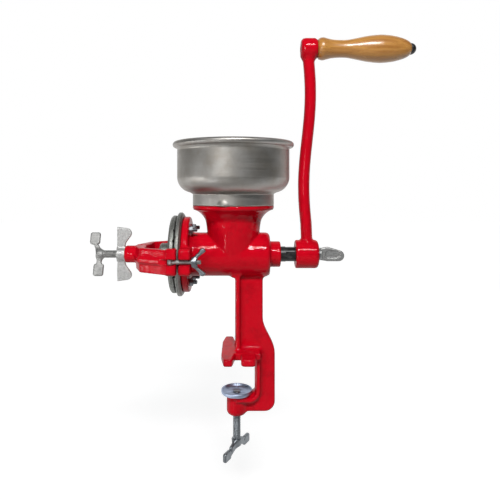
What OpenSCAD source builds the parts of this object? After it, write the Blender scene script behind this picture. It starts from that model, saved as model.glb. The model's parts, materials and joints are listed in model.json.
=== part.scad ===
// Hand grain mill that clamps to a table edge, with a cranked worm and a pair of burr plates.
// The origin is on the table top, under the jaw and on the clamp screw's axis.
// +X points to the crank, +Y to the back of the mill and +Z up.

/* [Barrel and head] */
// Height of the shaft axis above the table top
axis_h = 118; // [110:1:130]
// Outside radius of the barrel round the worm
barrel_r = 25.4; // [24.5:0.1:27]
// Length of the barrel from the head's face to the crank end
barrel_l = 100.7; // [98:0.1:110]
// Place of the barrel's crank end along X
barrel_end_x = 38.7; // [36:0.1:42]
// Wall at the barrel's crank end
end_wall = 5.7; // [4:0.1:7]
// Wall of the barrel and the throat
cast_wall = 4.4; // [3.5:0.1:5]
// Radius of the round head behind the burr plates
head_r = 44; // [42:0.5:46]
// Thickness of the round head
head_t = 8; // [6:0.5:10]
// Radius of the bearing boss at the crank end
bearing_r = 14.5; // [13:0.1:16]
// Length of the bearing boss
bearing_l = 12.5; // [9:0.5:16]

/* [Throat] */
// Place of the throat's axis along X
throat_x = -4; // [-8:0.5:0]
// Outside radius of the throat's neck
neck_r = 31.4; // [30:0.1:33]
// Height of the throat's flange above the shaft axis
throat_h = 57.5; // [54:0.5:62]
// Radius of the hollow flare under the flange
flare_r = 21; // [18:0.5:23]
// Radius of the flange that carries the hopper
flange_r = 47.6; // [46.5:0.1:50]
// Thickness of that flange
flange_t = 4; // [3:0.1:6]
// Height of the collar inside the hopper's neck
collar_h = 8; // [5:0.5:11]

/* [Clamp frame] */
// Place of the post's front face along X
post_x = -1; // [-3:0.1:1]
// Depth of the post along X
post_depth = 31.6; // [28:0.1:34]
// Thickness of the T-section's flange
rib_t = 4.8; // [3.5:0.1:6]
// Width of the T-section's flange
rib_w = 28; // [24:0.5:32]
// Thickness of the T-section's web
web_t = 11; // [8:0.5:14]
// Place of the spine's inner face along X
spine_x = 22.6; // [21.5:0.1:25]
// Depth of the spine along X
spine_depth = 22.1; // [19:0.1:25]
// Opening between the jaw and the lower arm
throat_gap = 47.6; // [44:0.1:55]
// Height of the lower arm
arm_h = 19.1; // [15:0.1:22]
// Outer radius at the spine's foot
foot_r = 12; // [8:0.5:15]
// Radius of the clamp screw's boss
screw_boss_r = 11.8; // [10:0.1:14]
// How far that boss stands out below the lower arm
screw_boss_drop = 4.7; // [3:0.1:6]

/* [Jaw] */
// Thickness of the jaw
jaw_t = 8.2; // [6:0.1:10]
// Length of the jaw's crossbars along the table edge
jaw_l = 90; // [80:1:100]
// Width of the plate that joins the crossbars
jaw_web_l = 48; // [40:1:56]
// Middle of the outer crossbar along X
outer_bar_x = -9.5; // [-11:0.1:-8.5]
// Width of the outer crossbar at its middle
outer_bar_w = 16; // [14:0.1:17]
// Width of the outer crossbar at its ends
outer_bar_end_w = 10.4; // [8:0.1:12]
// Width of the inner crossbar
inner_bar_w = 16.9; // [14:0.1:18]

/* [Burr plates] */
// Radius of the stationary plate
plate_r = 49; // [47.5:0.1:51]
// Thickness of the stationary plate
plate_t = 6; // [5:0.1:7]
// Radius of the rotating plate
runner_r = 45.4; // [43:0.1:46]
// Thickness of the rotating plate
runner_t = 6.5; // [5.5:0.1:8]
// Gap between the two plates
grind_gap = 1.5; // [1.4:0.1:3]
// Depth of the grinding furrows
furrow_depth = 1.2; // [0.8:0.1:1.6]
// Width of the grinding furrows
furrow_w = 2.2; // [1.6:0.1:2.6]
// Furrows round each plate
furrow_count = 20; // [16:2:24]
// Radius of the rotating plate's hub
runner_hub_r = 13; // [11:0.1:15]
// Length of the rotating plate's hub
runner_hub_l = 14; // [11:0.5:16]
// Radius of the plate screws
plate_screw_r = 2.5; // [2:0.1:2.7]
// Offset of the plate screws from the axis along Y
plate_screw_y = 17.5; // [16:0.5:19]
// Offset of the plate screws from the axis along Z
plate_screw_z = 30; // [29:0.5:31]

/* [Worm and shaft] */
// Radius of the shaft
shaft_r = 8; // [7:0.1:9]
// Radius of the worm's core
core_r = 9.5; // [9:0.1:11]
// Gap between the worm's flight and the barrel
flight_gap = 1; // [0.6:0.1:2]
// Pitch of the worm's flight
flight_pitch = 25; // [20:1:30]
// Thickness of the flight at its crest
flight_t = 4; // [3:0.1:6]
// Square end that drives the rotating plate
runner_tenon = 13; // [11:0.1:14]
// Square end that carries the crank, across its flats
crank_tenon = 13; // [11:0.1:13.6]
// Radius of the thrust ball
ball_r = 4; // [3.5:0.1:4.5]

/* [Bridge and swing bolts] */
// Radius of the boss round the adjusting screw
bridge_boss_r = 10; // [9:0.1:11]
// Length of that boss past the arms
bridge_boss_l = 13.4; // [10:0.1:16]
// Distance from the lugs' outer faces to the boss
bridge_reach = 42; // [40:0.5:48]
// Thickness of the bridge's arms
bridge_arm_t = 8; // [6:0.1:9]
// Half width of the bridge's end, from the axis to its shoulders
bridge_shoulder_y = 31; // [28:0.5:33]
// Set of the shoulders behind the end's face
bridge_shoulder_set = 8; // [4:0.5:10]
// Height of the lugs
lug_h = 29; // [26:0.5:32]
// Thickness of the bridge's lugs along X
bridge_lug_t = 11.2; // [10.6:0.1:13]
// Thickness of the head's lugs along X
head_lug_t = 12.7; // [11:0.1:14]
// Gap between the two pairs of lugs
lug_gap = 2.6; // [1.5:0.1:4]
// Radius of the swing bolts
bolt_r = 2.5; // [2:0.1:2.8]
// Drop of the swing bolts below the shaft axis
bolt_drop = 2; // [0:0.1:4]
// Length of the swing bolts from the T-head's axis
bolt_l = 33; // [31:0.5:38]
// Height of the bolts' T-heads
tee_h = 10; // [9:0.1:12]
// Metal between the swing bolts and the lugs' outer faces
lug_wall = 4; // [3:0.1:5]
// Gap between the swing bolts and the plates' rim
bolt_side_gap = 2; // [1.5:0.1:3]
// Reach of the swing bolts' wing nuts from the bolt
bolt_wing_reach = 14; // [12:0.5:16]

/* [Adjusting screw] */
// Radius of the adjusting screw
adjuster_r = 4; // [3.5:0.1:4.5]
// Length of the adjusting screw past its lock nut
adjuster_tail = 16.5; // [14:0.5:22]
// Reach of the screw's wings from its axis
adjuster_wing_reach = 26; // [22:0.5:28]
// Turn of the screw's wings about its axis
adjuster_turn = -18; // [-90:1:90]
// Reach of the lock nut's wings from its axis
lock_wing_reach = 32; // [28:0.5:34]
// Thickness of the lock nut along X
lock_nut_l = 9.5; // [8:0.1:11]

/* [Crank] */
// Distance from the shaft axis to the grip axis
crank_r = 242; // [220:1:260]
// Gap between the bearing boss and the crank
crank_gap = 17.5; // [14:0.5:22]
// Radius of the crank's hub
crank_hub_r = 15.9; // [14:0.1:18]
// Length of the crank's hub
crank_hub_l = 27; // [24:0.5:30]
// Thickness of the crank arm along the shaft
arm_t = 13.4; // [11:0.1:15]
// Width of the crank arm across the shaft
arm_w = 16; // [13:0.1:20]
// Sideways bend of the crank arm
arm_bend = 3.9; // [0:0.1:6]
// Radius of the boss at the crank's end
crank_boss_r = 12.4; // [11:0.1:14]
// Length of the boss at the crank's end
crank_boss_l = 18.8; // [16:0.1:22]
// Radius of the thumb screw's thread
thumb_r = 3; // [2.5:0.1:3.5]
// Length of the thumb screw's paddle
paddle_l = 28; // [24:0.5:32]
// Height of the thumb screw's paddle
paddle_h = 17; // [14:0.5:20]

/* [Grip] */
// Length of the wooden grip
grip_l = 109.5; // [95:0.5:120]
// Greatest radius of the grip
grip_r = 16.1; // [14:0.1:18]
// Radius of the pin that the grip turns on
grip_pin_r = 4; // [3:0.1:5]

/* [Hopper] */
// Inside radius of the hopper's bowl
bowl_r = 64.6; // [60:0.1:70]
// Height of the hopper's bowl above its neck
bowl_h = 58; // [50:0.5:70]
// Radius of the bowl's lower corner
bowl_corner_r = 17; // [14:0.5:19]
// Height of the hopper's neck
hopper_neck_h = 16; // [13:0.5:20]
// Thickness of the hopper's sheet metal
sheet_t = 1.2; // [0.8:0.1:1.6]
// Width of the pressed dimples in the hopper's neck
dimple_w = 14; // [10:0.5:18]
// Radius of the rolled rim
rim_r = 3.5; // [2.5:0.1:4.5]

/* [Clamp screw] */
// Radius of the clamp screw
clamp_r = 4.5; // [4:0.1:5]
// Travel of the clamp pad
clamp_travel = 28; // [24:0.5:30]
// Radius of the clamp pad
pad_r = 18.3; // [16:0.1:19]
// Depth of the pad's dish
pad_dish = 3.5; // [2:0.1:4]
// Reach of the clamp screw's wings
clamp_wing_reach = 30; // [24:0.5:36]
// Width of these wings at their root
clamp_wing_root = 9; // [6:0.5:10]
// Width of these wings at their tips
clamp_wing_tip = 11; // [8:0.5:14]
// Droop of these wings
clamp_wing_droop = 7; // [3:0.5:10]
// Turn of these wings about the screw's axis
clamp_turn = 242; // [180:1:300]

/* [Fits] */
// Play of bolts and screws in plain holes
hole_fit = 0.2; // [0.1:0.05:0.4]
// Play of the swing bolts in their open slots
slot_play = 0.5; // [0.3:0.1:0.8]
// Radial play of turning and screwed fits
running_fit = 0.05; // [0.02:0.01:0.1]
// Play between pieces that are put together by hand
hand_fit = 0.3; // [0.2:0.05:0.5]
// Play between flat faces that bear on each other
face_gap = 0.1; // [0.05:0.05:0.3]

/* [Hidden] */
$fn = 72;

RED = [0.78, 0.02, 0.03];
IRON = [0.47, 0.48, 0.46];
ZINC = [0.66, 0.69, 0.74];
CAST_ZINC = [0.70, 0.70, 0.69];
BLACK = [0.06, 0.06, 0.06];
WOOD = [0.72, 0.45, 0.16];
TIN = [0.68, 0.66, 0.62];

// Cuts run past the solid by this much
over = 1;
// Small rounded or chamfered edge of a casting
edge = 1.5;
// Fine chamfer on turned pieces
fine_edge = 0.7;
// Hollow corner where castings meet
cast_fillet = 4.4;

head_x = barrel_end_x - barrel_l;
bearing_end_x = barrel_end_x + bearing_l;
bore_r = barrel_r - cast_wall;
bore_end_x = barrel_end_x - end_wall;
flight_r = bore_r - flight_gap;

plate_x = head_x - plate_t;
runner_x = plate_x - grind_gap;
runner_back_x = runner_x - runner_t;
runner_hub_x = runner_back_x - runner_hub_l;
// Dish in the rotating plate's middle
runner_dish = 2;
shaft_tip_x = runner_hub_x - edge;
// Depth of the ball's seats in the shaft and in the adjusting screw
ball_seat = 1.5;
ball_pitch = ball_r + running_fit - ball_seat;
ball_x = shaft_tip_x - ball_pitch;
adjuster_tip_x = ball_x - ball_pitch;

bolt_z = -bolt_drop;
bolt_y = plate_r + bolt_r + bolt_side_gap;
lug_out_y = bolt_y + bolt_r + lug_wall;
lug_in_y = plate_r + 0.5;
head_lug_x = head_x + head_lug_t;
bridge_lug_x = head_x - lug_gap - bridge_lug_t;
tee_r = bolt_r + 0.6;
// Metal between the T-heads' pockets and the lugs' outer faces
tee_wall = 1.6;
tee_x = bridge_lug_x + tee_r + tee_wall;
// Room that lets a wing nut swing past its lug
swing_room = 1.1;
bridge_boss_x = bridge_lug_x - bridge_reach;
bridge_end_x = bridge_boss_x - bridge_boss_l;
lock_x = bridge_end_x - face_gap;
adjuster_end_x = lock_x - lock_nut_l - adjuster_tail;

throat_top = axis_h + throat_h;
flare_z = throat_top - flange_t - flare_r;
// Height of the throat's round bottom above the shaft axis
dome_rise = 8;
dome_z = axis_h + dome_rise;
passage_r = neck_r - cast_wall;
hopper_neck_r = flange_r - sheet_t;
collar_r = hopper_neck_r - hand_fit;

post_back_x = post_x + post_depth;
spine_back_x = spine_x + spine_depth;
arm_top_z = -throat_gap;
arm_bottom_z = arm_top_z - arm_h;
boss_bottom_z = arm_bottom_z - screw_boss_drop;
// Step from the inner crossbar to the spine's inner face
bar_step = 0.8;
inner_bar_x = spine_x - inner_bar_w / 2 - bar_step;

crank_x = bearing_end_x + crank_gap;
crank_end_x = crank_x + crank_hub_l;
crank_mid_x = crank_x + crank_hub_l / 2;
crank_boss_end_x = crank_end_x - 1.1;
// How far the shaft's end lies inside the crank's hub
shaft_inset = 2;
shaft_end_x = crank_end_x - shaft_inset;
washer_t = 1.8;
washer_r = 7.7;
grip_x = crank_boss_end_x + hand_fit;
grip_axis_z = axis_h + crank_r;

pad_t = 1.6;
// Room under the lowered clamp pad
pad_room = 1.5;
pad_top_z = arm_top_z + pad_t + pad_dish + pad_room;
pad_floor_z = pad_top_z - pad_dish;
clamp_tip_r = 3;
// Room between the clamp screw's hub and the boss when the pad is all the way up
hub_room = 0.6;
clamp_hub_z = boss_bottom_z - clamp_travel - hub_room;

// Points on an arc, from one angle to another
function arc(cx, cy, r, a0, a1, steps = 8) =
    [for (i = [0 : steps]) let (a = a0 + (a1 - a0) * i / steps) [cx + r * cos(a), cy + r * sin(a)]];

// One point of a smooth curve through p1 and p2, with p0 and p3 beside them
function smooth(p0, p1, p2, p3, t) =
    0.5 * (2 * p1 + (p2 - p0) * t + (2 * p0 - 5 * p1 + 4 * p2 - p3) * t * t
    + (3 * p1 - p0 - 3 * p2 + p3) * t * t * t);

// A smooth curve through a list of points
function curve(pts, steps = 4) =
    let (last = len(pts) - 1)
    concat([for (i = [0 : last - 1], k = [0 : steps - 1])
        smooth(pts[max(i - 1, 0)], pts[i], pts[i + 1], pts[min(i + 2, last)], k / steps)], [pts[last]]);

// Turns an outline of [radius, place along X] points about the shaft axis
module turned(outline, z = axis_h) {
    translate([0, 0, z]) rotate([0, 90, 0]) rotate_extrude() polygon(outline);
}

// Round bar along X
module rod(r, x0, x1, y = 0, z = axis_h) {
    translate([x0, y, z]) rotate([0, 90, 0]) cylinder(r = r, h = x1 - x0);
}

// Plate that stands in the XZ plane, centred on the mill's middle
module upright(t) {
    translate([0, t / 2, 0]) rotate([90, 0, 0]) linear_extrude(t) children();
}

// Block with a YZ outline about the shaft axis, run along X
module across(x0, x1) {
    translate([x0, 0, axis_h]) rotate([90, 0, 90]) linear_extrude(x1 - x0) children();
}

// Outline of one wing: outwards along X from the axis, swept along Y, with a round tip
module wing_outline(reach, root_w, tip_w, sweep) {
    polygon(concat(
        [[0, -root_w / 2], [reach * 0.35, sweep * 0.2 - root_w / 2]],
        arc(reach - tip_w / 2, sweep, tip_w / 2, -90, 90, 10),
        [[reach * 0.35, sweep * 0.2 + root_w / 2], [0, root_w / 2]]
    ));
}

// A pair of wings about the Z axis, swept upwards
module wing_pair(reach, root_w, tip_w, sweep, t) {
    for (side = [0, 180]) {
        rotate([0, 0, side]) translate([0, t / 2, 0]) rotate([90, 0, 0])
            linear_extrude(t) wing_outline(reach, root_w, tip_w, sweep);
    }
}

// The four places of the plate screws
module at_plate_screws() {
    for (y = [-plate_screw_y, plate_screw_y], z = [-plate_screw_z, plate_screw_z]) {
        translate([0, y, axis_h + z]) rotate([0, 90, 0]) children();
    }
}

// Furrows that slant across a plate's face, in the plane of the plate
module furrows(r_in, r_out) {
    for (i = [0 : furrow_count - 1]) {
        rotate([0, 0, 360 * i / furrow_count]) translate([r_in, 0, 0]) rotate([0, 0, 24])
            translate([0, -furrow_w / 2, -furrow_depth]) cube([r_out, furrow_w, 2 * furrow_depth]);
    }
}

// Rounding of the barrel's crank end
end_round = 5;

// Outside of the head, barrel and bearing boss
function barrel_outline() = concat(
    [[0, head_x], [head_r - edge, head_x], [head_r, head_x + edge]],
    arc(head_r - edge, head_x + head_t - edge, edge, 0, 90, 3),
    arc(barrel_r + cast_fillet, head_x + head_t + cast_fillet, cast_fillet, 270, 180, 6),
    arc(barrel_r - end_round, barrel_end_x - end_round, end_round, 0, 90, 6),
    [[bearing_r, barrel_end_x], [bearing_r, bearing_end_x - edge]],
    [[bearing_r - edge, bearing_end_x], [0, bearing_end_x]]
);

// Outside of the throat, from its round bottom to the collar
function throat_outline() = concat(
    arc(0, dome_z, neck_r, -90, 0, 12),
    arc(neck_r + flare_r, flare_z, flare_r, 180, 105, 10),
    [[flange_r - fine_edge, throat_top - flange_t]],
    [[flange_r, throat_top - flange_t + fine_edge], [flange_r, throat_top]],
    [[collar_r, throat_top], [collar_r, throat_top + collar_h], [0, throat_top + collar_h]]
);

// Inside of the throat, one wall further in
function passage_outline() =
    let (flare_x = neck_r + flare_r, mouth_a = 115, mouth_r = flare_x + (flare_r + cast_wall) * cos(mouth_a))
    concat(
        arc(0, dome_z, passage_r, -90, 0, 12),
        arc(flare_x, flare_z, flare_r + cast_wall, 180, mouth_a, 8),
        [[mouth_r, throat_top + collar_h + over], [0, throat_top + collar_h + over]]
    );

// Hollow corners of the frame: inside the C, under the barrel and at the post's top
frame_corner_r = 8;
post_corner_r = 4;
// Rounded corners of the inner crossbar
bar_corner_r = 3;

// Inner edge of the C-shaped frame, from the lower arm's end up to the jaw
function frame_inside(set_back = 0) = concat(
    [[0, arm_top_z - set_back]],
    arc(spine_x - frame_corner_r, arm_top_z + frame_corner_r, frame_corner_r + set_back, -90, 0, 6),
    [[spine_x + set_back, 0]]
);

// Back edge of the frame, from the barrel down to the lower arm's end
function frame_outside() =
    let (bend_top = jaw_t + 36, bend_h = 42, steps = 10, step_out = spine_back_x - post_back_x)
    concat(
        [[barrel_end_x - over, axis_h], [barrel_end_x - over, axis_h - barrel_r / 2]],
        arc(post_back_x + frame_corner_r, axis_h - barrel_r - end_round, frame_corner_r, 100, 180, 5),
        [for (i = [0 : steps])
            [post_back_x + step_out * (1 - cos(180 * i / steps)) / 2, bend_top - bend_h * i / steps]],
        arc(spine_back_x - foot_r, arm_bottom_z + foot_r, foot_r, 0, -90, 6),
        [[0, arm_bottom_z]]
    );

// Web of the post, spine and lower arm
module frame_web() {
    upright(web_t) polygon(concat(frame_outside(), frame_inside(), [[0, 0], [0, axis_h]]));
}

// Flanges along the inner edge of the frame
module frame_flanges() {
    corner_x = post_x - post_corner_r;
    inside = frame_inside();
    set_back = frame_inside(rib_t);
    upright(rib_w) polygon(concat(
        arc(corner_x, axis_h - barrel_r - post_corner_r, post_corner_r, 90, 0, 5),
        [[post_x, 0], [post_x + rib_t, 0], [post_x + rib_t, axis_h - barrel_r / 2]],
        [[corner_x, axis_h - barrel_r / 2]]
    ));
    upright(rib_w) polygon(concat(inside, [for (i = [len(inside) - 1 : -1 : 0]) set_back[i]]));
}

// Plan of the jaw: two crossbars and the plate between them
module jaw_plan() {
    half = jaw_l / 2;
    tip = outer_bar_end_w / 2;
    for (side = [1, -1]) {
        polygon(concat(
            [[outer_bar_x + outer_bar_w / 2, 0], [outer_bar_x + outer_bar_w / 2, side * jaw_web_l / 2]],
            [for (p = arc(outer_bar_x, half - tip, tip, 0, 180, 8)) [p[0], side * p[1]]],
            [[outer_bar_x - outer_bar_w / 2, side * jaw_web_l / 2], [outer_bar_x - outer_bar_w / 2, 0]]
        ));
    }
    in_half = inner_bar_w / 2;
    translate([inner_bar_x - in_half, bar_corner_r - half]) square([inner_bar_w, jaw_l - 2 * bar_corner_r]);
    translate([inner_bar_x - in_half + bar_corner_r, -half]) square([inner_bar_w - 2 * bar_corner_r, jaw_l]);
    for (side = [-1, 1], end = [-1, 1]) {
        translate([inner_bar_x + side * (in_half - bar_corner_r), end * (half - bar_corner_r)])
            circle(bar_corner_r);
    }
    translate([outer_bar_x, -jaw_web_l / 2]) square([spine_x + rib_t - outer_bar_x, jaw_web_l]);
}

// Boss that the clamp screw runs in, with a round lower edge
module screw_boss() {
    round_r = screw_boss_r - clamp_r - edge;
    rotate_extrude() polygon(concat(
        [[0, boss_bottom_z]],
        arc(screw_boss_r - round_r, boss_bottom_z + round_r, round_r, -90, 0, 6),
        [[screw_boss_r, arm_top_z], [0, arm_top_z]]
    ));
}

// A lug on one side, with a slot that opens outwards for the swing bolt
module lug_outline(side, inner_y) {
    round_r = 4;
    top = bolt_z + lug_h / 2;
    bottom = bolt_z - lug_h / 2;
    slot_half = bolt_r + slot_play;
    difference() {
        polygon([for (p = concat(
            [[inner_y, bottom]],
            arc(lug_out_y - round_r, bottom + round_r, round_r, -90, 0, 4),
            arc(lug_out_y - round_r, top - round_r, round_r, 0, 90, 4),
            [[inner_y, top]]
        )) [side * p[0], p[1]]]);
        polygon([for (p = concat(
            arc(bolt_y, bolt_z, slot_half, 270, 90, 8),
            [[lug_out_y + over, bolt_z + slot_half], [lug_out_y + over, bolt_z - slot_half]]
        )) [side * p[0], p[1]]]);
    }
}

module mill_body() {
    // Depth to which the lugs are rooted in the round head
    lug_root = 9;
    color(RED) difference() {
        union() {
            turned(barrel_outline());
            translate([throat_x, 0, 0]) rotate_extrude() polygon(throat_outline());
            frame_web();
            frame_flanges();
            linear_extrude(jaw_t) jaw_plan();
            screw_boss();
            for (side = [-1, 1]) {
                across(head_x, head_lug_x) lug_outline(side, head_r - lug_root);
            }
        }
        translate([throat_x, 0, 0]) rotate_extrude() polygon(passage_outline());
        rod(bore_r, head_x - over, bore_end_x);
        rod(shaft_r + running_fit, bore_end_x - over, bearing_end_x + over);
        at_plate_screws() translate([0, 0, head_x - over])
            cylinder(r = plate_screw_r + hole_fit, h = head_t + 2 * over);
        translate([0, 0, boss_bottom_z - over])
            cylinder(r = clamp_r + running_fit, h = arm_top_z - boss_bottom_z + 2 * over);
    }
}

module stationary_plate() {
    eye_chamfer = 3;
    head_r1 = 2 * plate_screw_r + hand_fit;
    color(IRON) difference() {
        turned([
            [bore_r, head_x], [plate_r - 2.5, head_x], [plate_r, head_x - 2], [plate_r, plate_x + 1],
            [plate_r - 1, plate_x], [bore_r + eye_chamfer, plate_x], [bore_r, plate_x + eye_chamfer]
        ]);
        at_plate_screws() translate([0, 0, plate_x - over])
            cylinder(r = plate_screw_r + hole_fit, h = plate_t + 2 * over);
        at_plate_screws() translate([0, 0, plate_x])
            cylinder(r1 = head_r1, r2 = plate_screw_r, h = head_r1 - plate_screw_r);
        translate([plate_x, 0, axis_h]) rotate([0, 90, 0]) furrows(bore_r + eye_chamfer + over, plate_r);
    }
}

module plate_screws() {
    top_x = plate_x + hand_fit;
    tip_x = head_x + head_t + 9;
    color(ZINC) at_plate_screws() rotate_extrude() polygon([
        [0, top_x], [2 * plate_screw_r, top_x], [plate_screw_r, top_x + plate_screw_r],
        [plate_screw_r, tip_x - fine_edge], [plate_screw_r - fine_edge, tip_x], [0, tip_x]
    ]);
}

module plate_nuts() {
    nut_r = 1.85 * plate_screw_r;
    nut_h = 1.7 * plate_screw_r;
    color(ZINC) at_plate_screws() translate([0, 0, head_x + head_t]) difference() {
        cylinder(r = nut_r, h = nut_h, $fn = 6);
        translate([0, 0, -over]) cylinder(r = plate_screw_r + running_fit, h = nut_h + 2 * over);
    }
}

// Plan of one arm of the bridge, from the boss out to its lug; grow moves the outer face outwards
module bridge_arm_plan(side, grow = 0) {
    arm_lean = 32;
    wall_lean = 15;
    shoulder_x = bridge_boss_x + bridge_shoulder_set + bridge_arm_t;
    inner_x = bridge_boss_x + bridge_arm_t;
    outer_end_x = bridge_lug_x - 2;
    outer_end_y = bridge_shoulder_y + bridge_arm_t / cos(arm_lean) + (outer_end_x - shoulder_x) * tan(arm_lean);
    inner_end_x = bridge_lug_x - 4;
    inner_end_y = bridge_shoulder_y + (inner_end_x - shoulder_x) * tan(arm_lean);
    shape = concat(
        [[bridge_boss_x - grow, 0], [bridge_boss_x - grow, bridge_boss_r - 1]],
        arc(shoulder_x, bridge_shoulder_y, bridge_arm_t + grow, 180 - wall_lean, 90 + arm_lean, 4),
        [[outer_end_x, outer_end_y + grow], [bridge_lug_x + 2, outer_end_y], [bridge_lug_x + 2, lug_in_y]],
        [[inner_end_x, lug_in_y], [inner_end_x, inner_end_y], [shoulder_x, bridge_shoulder_y]],
        [[inner_x + 6, bridge_boss_r], [inner_x + 4, 0]]
    );
    polygon([for (p = shape) [p[0], side * p[1]]]);
}

module bridge() {
    arm_set_in = 1;
    rib_h = 6;
    rib_out = 1.8;
    boss_root_x = bridge_boss_x + 4;
    arm_z = axis_h + bolt_z - lug_h / 2 + arm_set_in;
    slot_half = bolt_r + slot_play;
    slot_out_y = lug_out_y + rib_out + over;
    pocket_half = tee_r + hand_fit;
    pocket_h = tee_h + 2 * hand_fit;
    pocket_out = lug_out_y + over - bolt_y;
    color(RED) difference() {
        union() {
            turned([
                [0, bridge_end_x], [bridge_boss_r - edge, bridge_end_x], [bridge_boss_r, bridge_end_x + edge],
                [bridge_boss_r, boss_root_x], [0, boss_root_x]
            ]);
            for (side = [-1, 1]) {
                translate([0, 0, arm_z]) linear_extrude(lug_h - 3 * arm_set_in) bridge_arm_plan(side);
                translate([0, 0, axis_h - rib_h / 2]) linear_extrude(rib_h) bridge_arm_plan(side, rib_out);
                across(bridge_lug_x, bridge_lug_x + bridge_lug_t) lug_outline(side, lug_in_y);
            }
        }
        rod(adjuster_r + running_fit, bridge_end_x - over, bridge_lug_x);
        for (side = [-1, 1]) {
            across(bridge_lug_x - 8, tee_x) polygon([for (p = [
                [bolt_y, bolt_z - slot_half], [slot_out_y, bolt_z - slot_half],
                [slot_out_y, bolt_z + slot_half], [bolt_y, bolt_z + slot_half]
            ]) [side * p[0], p[1]]]);
            translate([tee_x, side * bolt_y, axis_h + bolt_z - pocket_h / 2]) {
                cylinder(r = pocket_half, h = pocket_h);
                translate([-pocket_half, side > 0 ? 0 : -pocket_out, 0])
                    cube([2 * pocket_half, pocket_out, pocket_h]);
            }
        }
    }
}

// Swing bolt: a T-head that turns in the bridge's lug, and its shank
module swing_bolt(side) {
    color(ZINC) translate([0, side * bolt_y, axis_h + bolt_z]) {
        translate([tee_x, 0, -tee_h / 2]) cylinder(r = tee_r, h = tee_h);
        turned([
            [0, tee_x], [bolt_r, tee_x], [bolt_r, tee_x + bolt_l - fine_edge],
            [bolt_r - fine_edge, tee_x + bolt_l], [0, tee_x + bolt_l]
        ], 0);
    }
}

module front_swing_bolt() {
    swing_bolt(-1);
}

module rear_swing_bolt() {
    swing_bolt(1);
}

// Wing nut with its wings swept away from the lug
module wing_nut(side) {
    hub_l = 5;
    hub_r = bolt_r + 2.6;
    wing_t = 4;
    wing_root = 4.4;
    wing_tip = 5;
    wing_sweep = 8.5;
    color(ZINC) translate([head_lug_x + swing_room, side * bolt_y, axis_h + bolt_z]) rotate([0, 90, 0])
        difference() {
            union() {
                cylinder(r1 = hub_r, r2 = hub_r - fine_edge, h = hub_l);
                translate([0, 0, hub_l / 2])
                    wing_pair(bolt_wing_reach, wing_root, wing_tip, wing_sweep, wing_t);
            }
            translate([0, 0, -over]) cylinder(r = bolt_r + running_fit, h = hub_l + 4 * over);
        }
}

module front_wing_nut() {
    wing_nut(-1);
}

module rear_wing_nut() {
    wing_nut(1);
}

module adjusting_screw() {
    hub_l = 8;
    hub_r = adjuster_r + 1.6;
    wing_t = 4.5;
    wing_root = 6;
    wing_tip = 13;
    wing_sweep = 4;
    hub_x = adjuster_end_x - hub_l;
    color(ZINC) difference() {
        union() {
            rod(adjuster_r, adjuster_end_x, adjuster_tip_x);
            turned([
                [0, hub_x], [adjuster_r, hub_x], [hub_r, hub_x + 2],
                [hub_r - fine_edge, adjuster_end_x], [0, adjuster_end_x]
            ]);
            translate([hub_x + hub_l / 2, 0, axis_h]) rotate([adjuster_turn, 0, 0]) rotate([0, -90, 0])
                wing_pair(adjuster_wing_reach, wing_root, wing_tip, wing_sweep, wing_t);
        }
        translate([ball_x, 0, axis_h]) sphere(ball_r + running_fit);
    }
}

// Lock nut with straight-backed wings that widen outwards
module adjuster_lock_nut() {
    hub_r = adjuster_r + 3.4;
    lobe_r = 6;
    lobe_out = 7.5;
    root_r = 9;
    wing_t = 4.5;
    color(CAST_ZINC) difference() {
        union() {
            rod(hub_r, lock_x - lock_nut_l, lock_x);
            for (side = [-1, 1]) {
                upright(wing_t) translate([lock_x, axis_h]) polygon([for (p = concat(
                    [[-lock_nut_l, 0], [-lock_nut_l, lock_wing_reach]],
                    arc(lobe_out - lobe_r, lock_wing_reach - edge - lobe_r, lobe_r, 80, -30, 6),
                    arc(root_r, hub_r + 2, root_r, 140, 180, 4),
                    [[0, 0]]
                )) [p[0], side * p[1]]]);
            }
        }
        rod(adjuster_r + running_fit, lock_x - lock_nut_l - over, lock_x + over);
    }
}

module thrust_ball() {
    color(ZINC) translate([ball_x, 0, axis_h]) sphere(ball_r);
}

// Section of the worm: a round core with one lobe that is as wide as the flight is thick
function worm_section() =
    let (crest = 180 * flight_t / flight_pitch, foot = 2 * crest + 4)
    concat(
        arc(0, 0, flight_r, -crest, crest, 4),
        arc(0, 0, core_r, foot, 360 - foot, 12)
    );

// Worm with its helical flight, from one place along X to another
module worm(x0, x1) {
    turns = (x1 - x0) / flight_pitch;
    translate([x0, 0, axis_h]) rotate([0, 90, 0])
        linear_extrude(x1 - x0, twist = 360 * turns, slices = ceil(16 * turns), segments = 18)
            polygon(worm_section());
}

module auger_shaft() {
    worm_x = plate_x + 1;
    worm_end_x = bore_end_x - 8;
    relief = 1;
    collar_l = 4;
    neck_l = 5;
    square_x = bearing_end_x + 6;
    thread_l = 18;
    tenon_half = runner_tenon / 2;
    crank_half = crank_tenon / 2;
    color(BLACK) difference() {
        union() {
            worm(worm_x, worm_end_x);
            rod(shaft_r, runner_x, worm_x + neck_l);
            rod(shaft_r, worm_end_x - neck_l, square_x);
            rod(core_r + 2, worm_end_x + relief, worm_end_x + relief + collar_l);
            translate([shaft_tip_x, -tenon_half, axis_h - tenon_half])
                cube([runner_x - shaft_tip_x + over, runner_tenon, runner_tenon]);
            intersection() {
                rod(shaft_r, square_x - over, shaft_end_x);
                translate([square_x - over, -crank_half, axis_h - crank_half])
                    cube([shaft_end_x - square_x + over, crank_tenon, crank_tenon]);
            }
        }
        translate([ball_x, 0, axis_h]) sphere(ball_r + running_fit);
        rod(thumb_r + running_fit, shaft_end_x - thread_l, shaft_end_x + over);
    }
}

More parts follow.
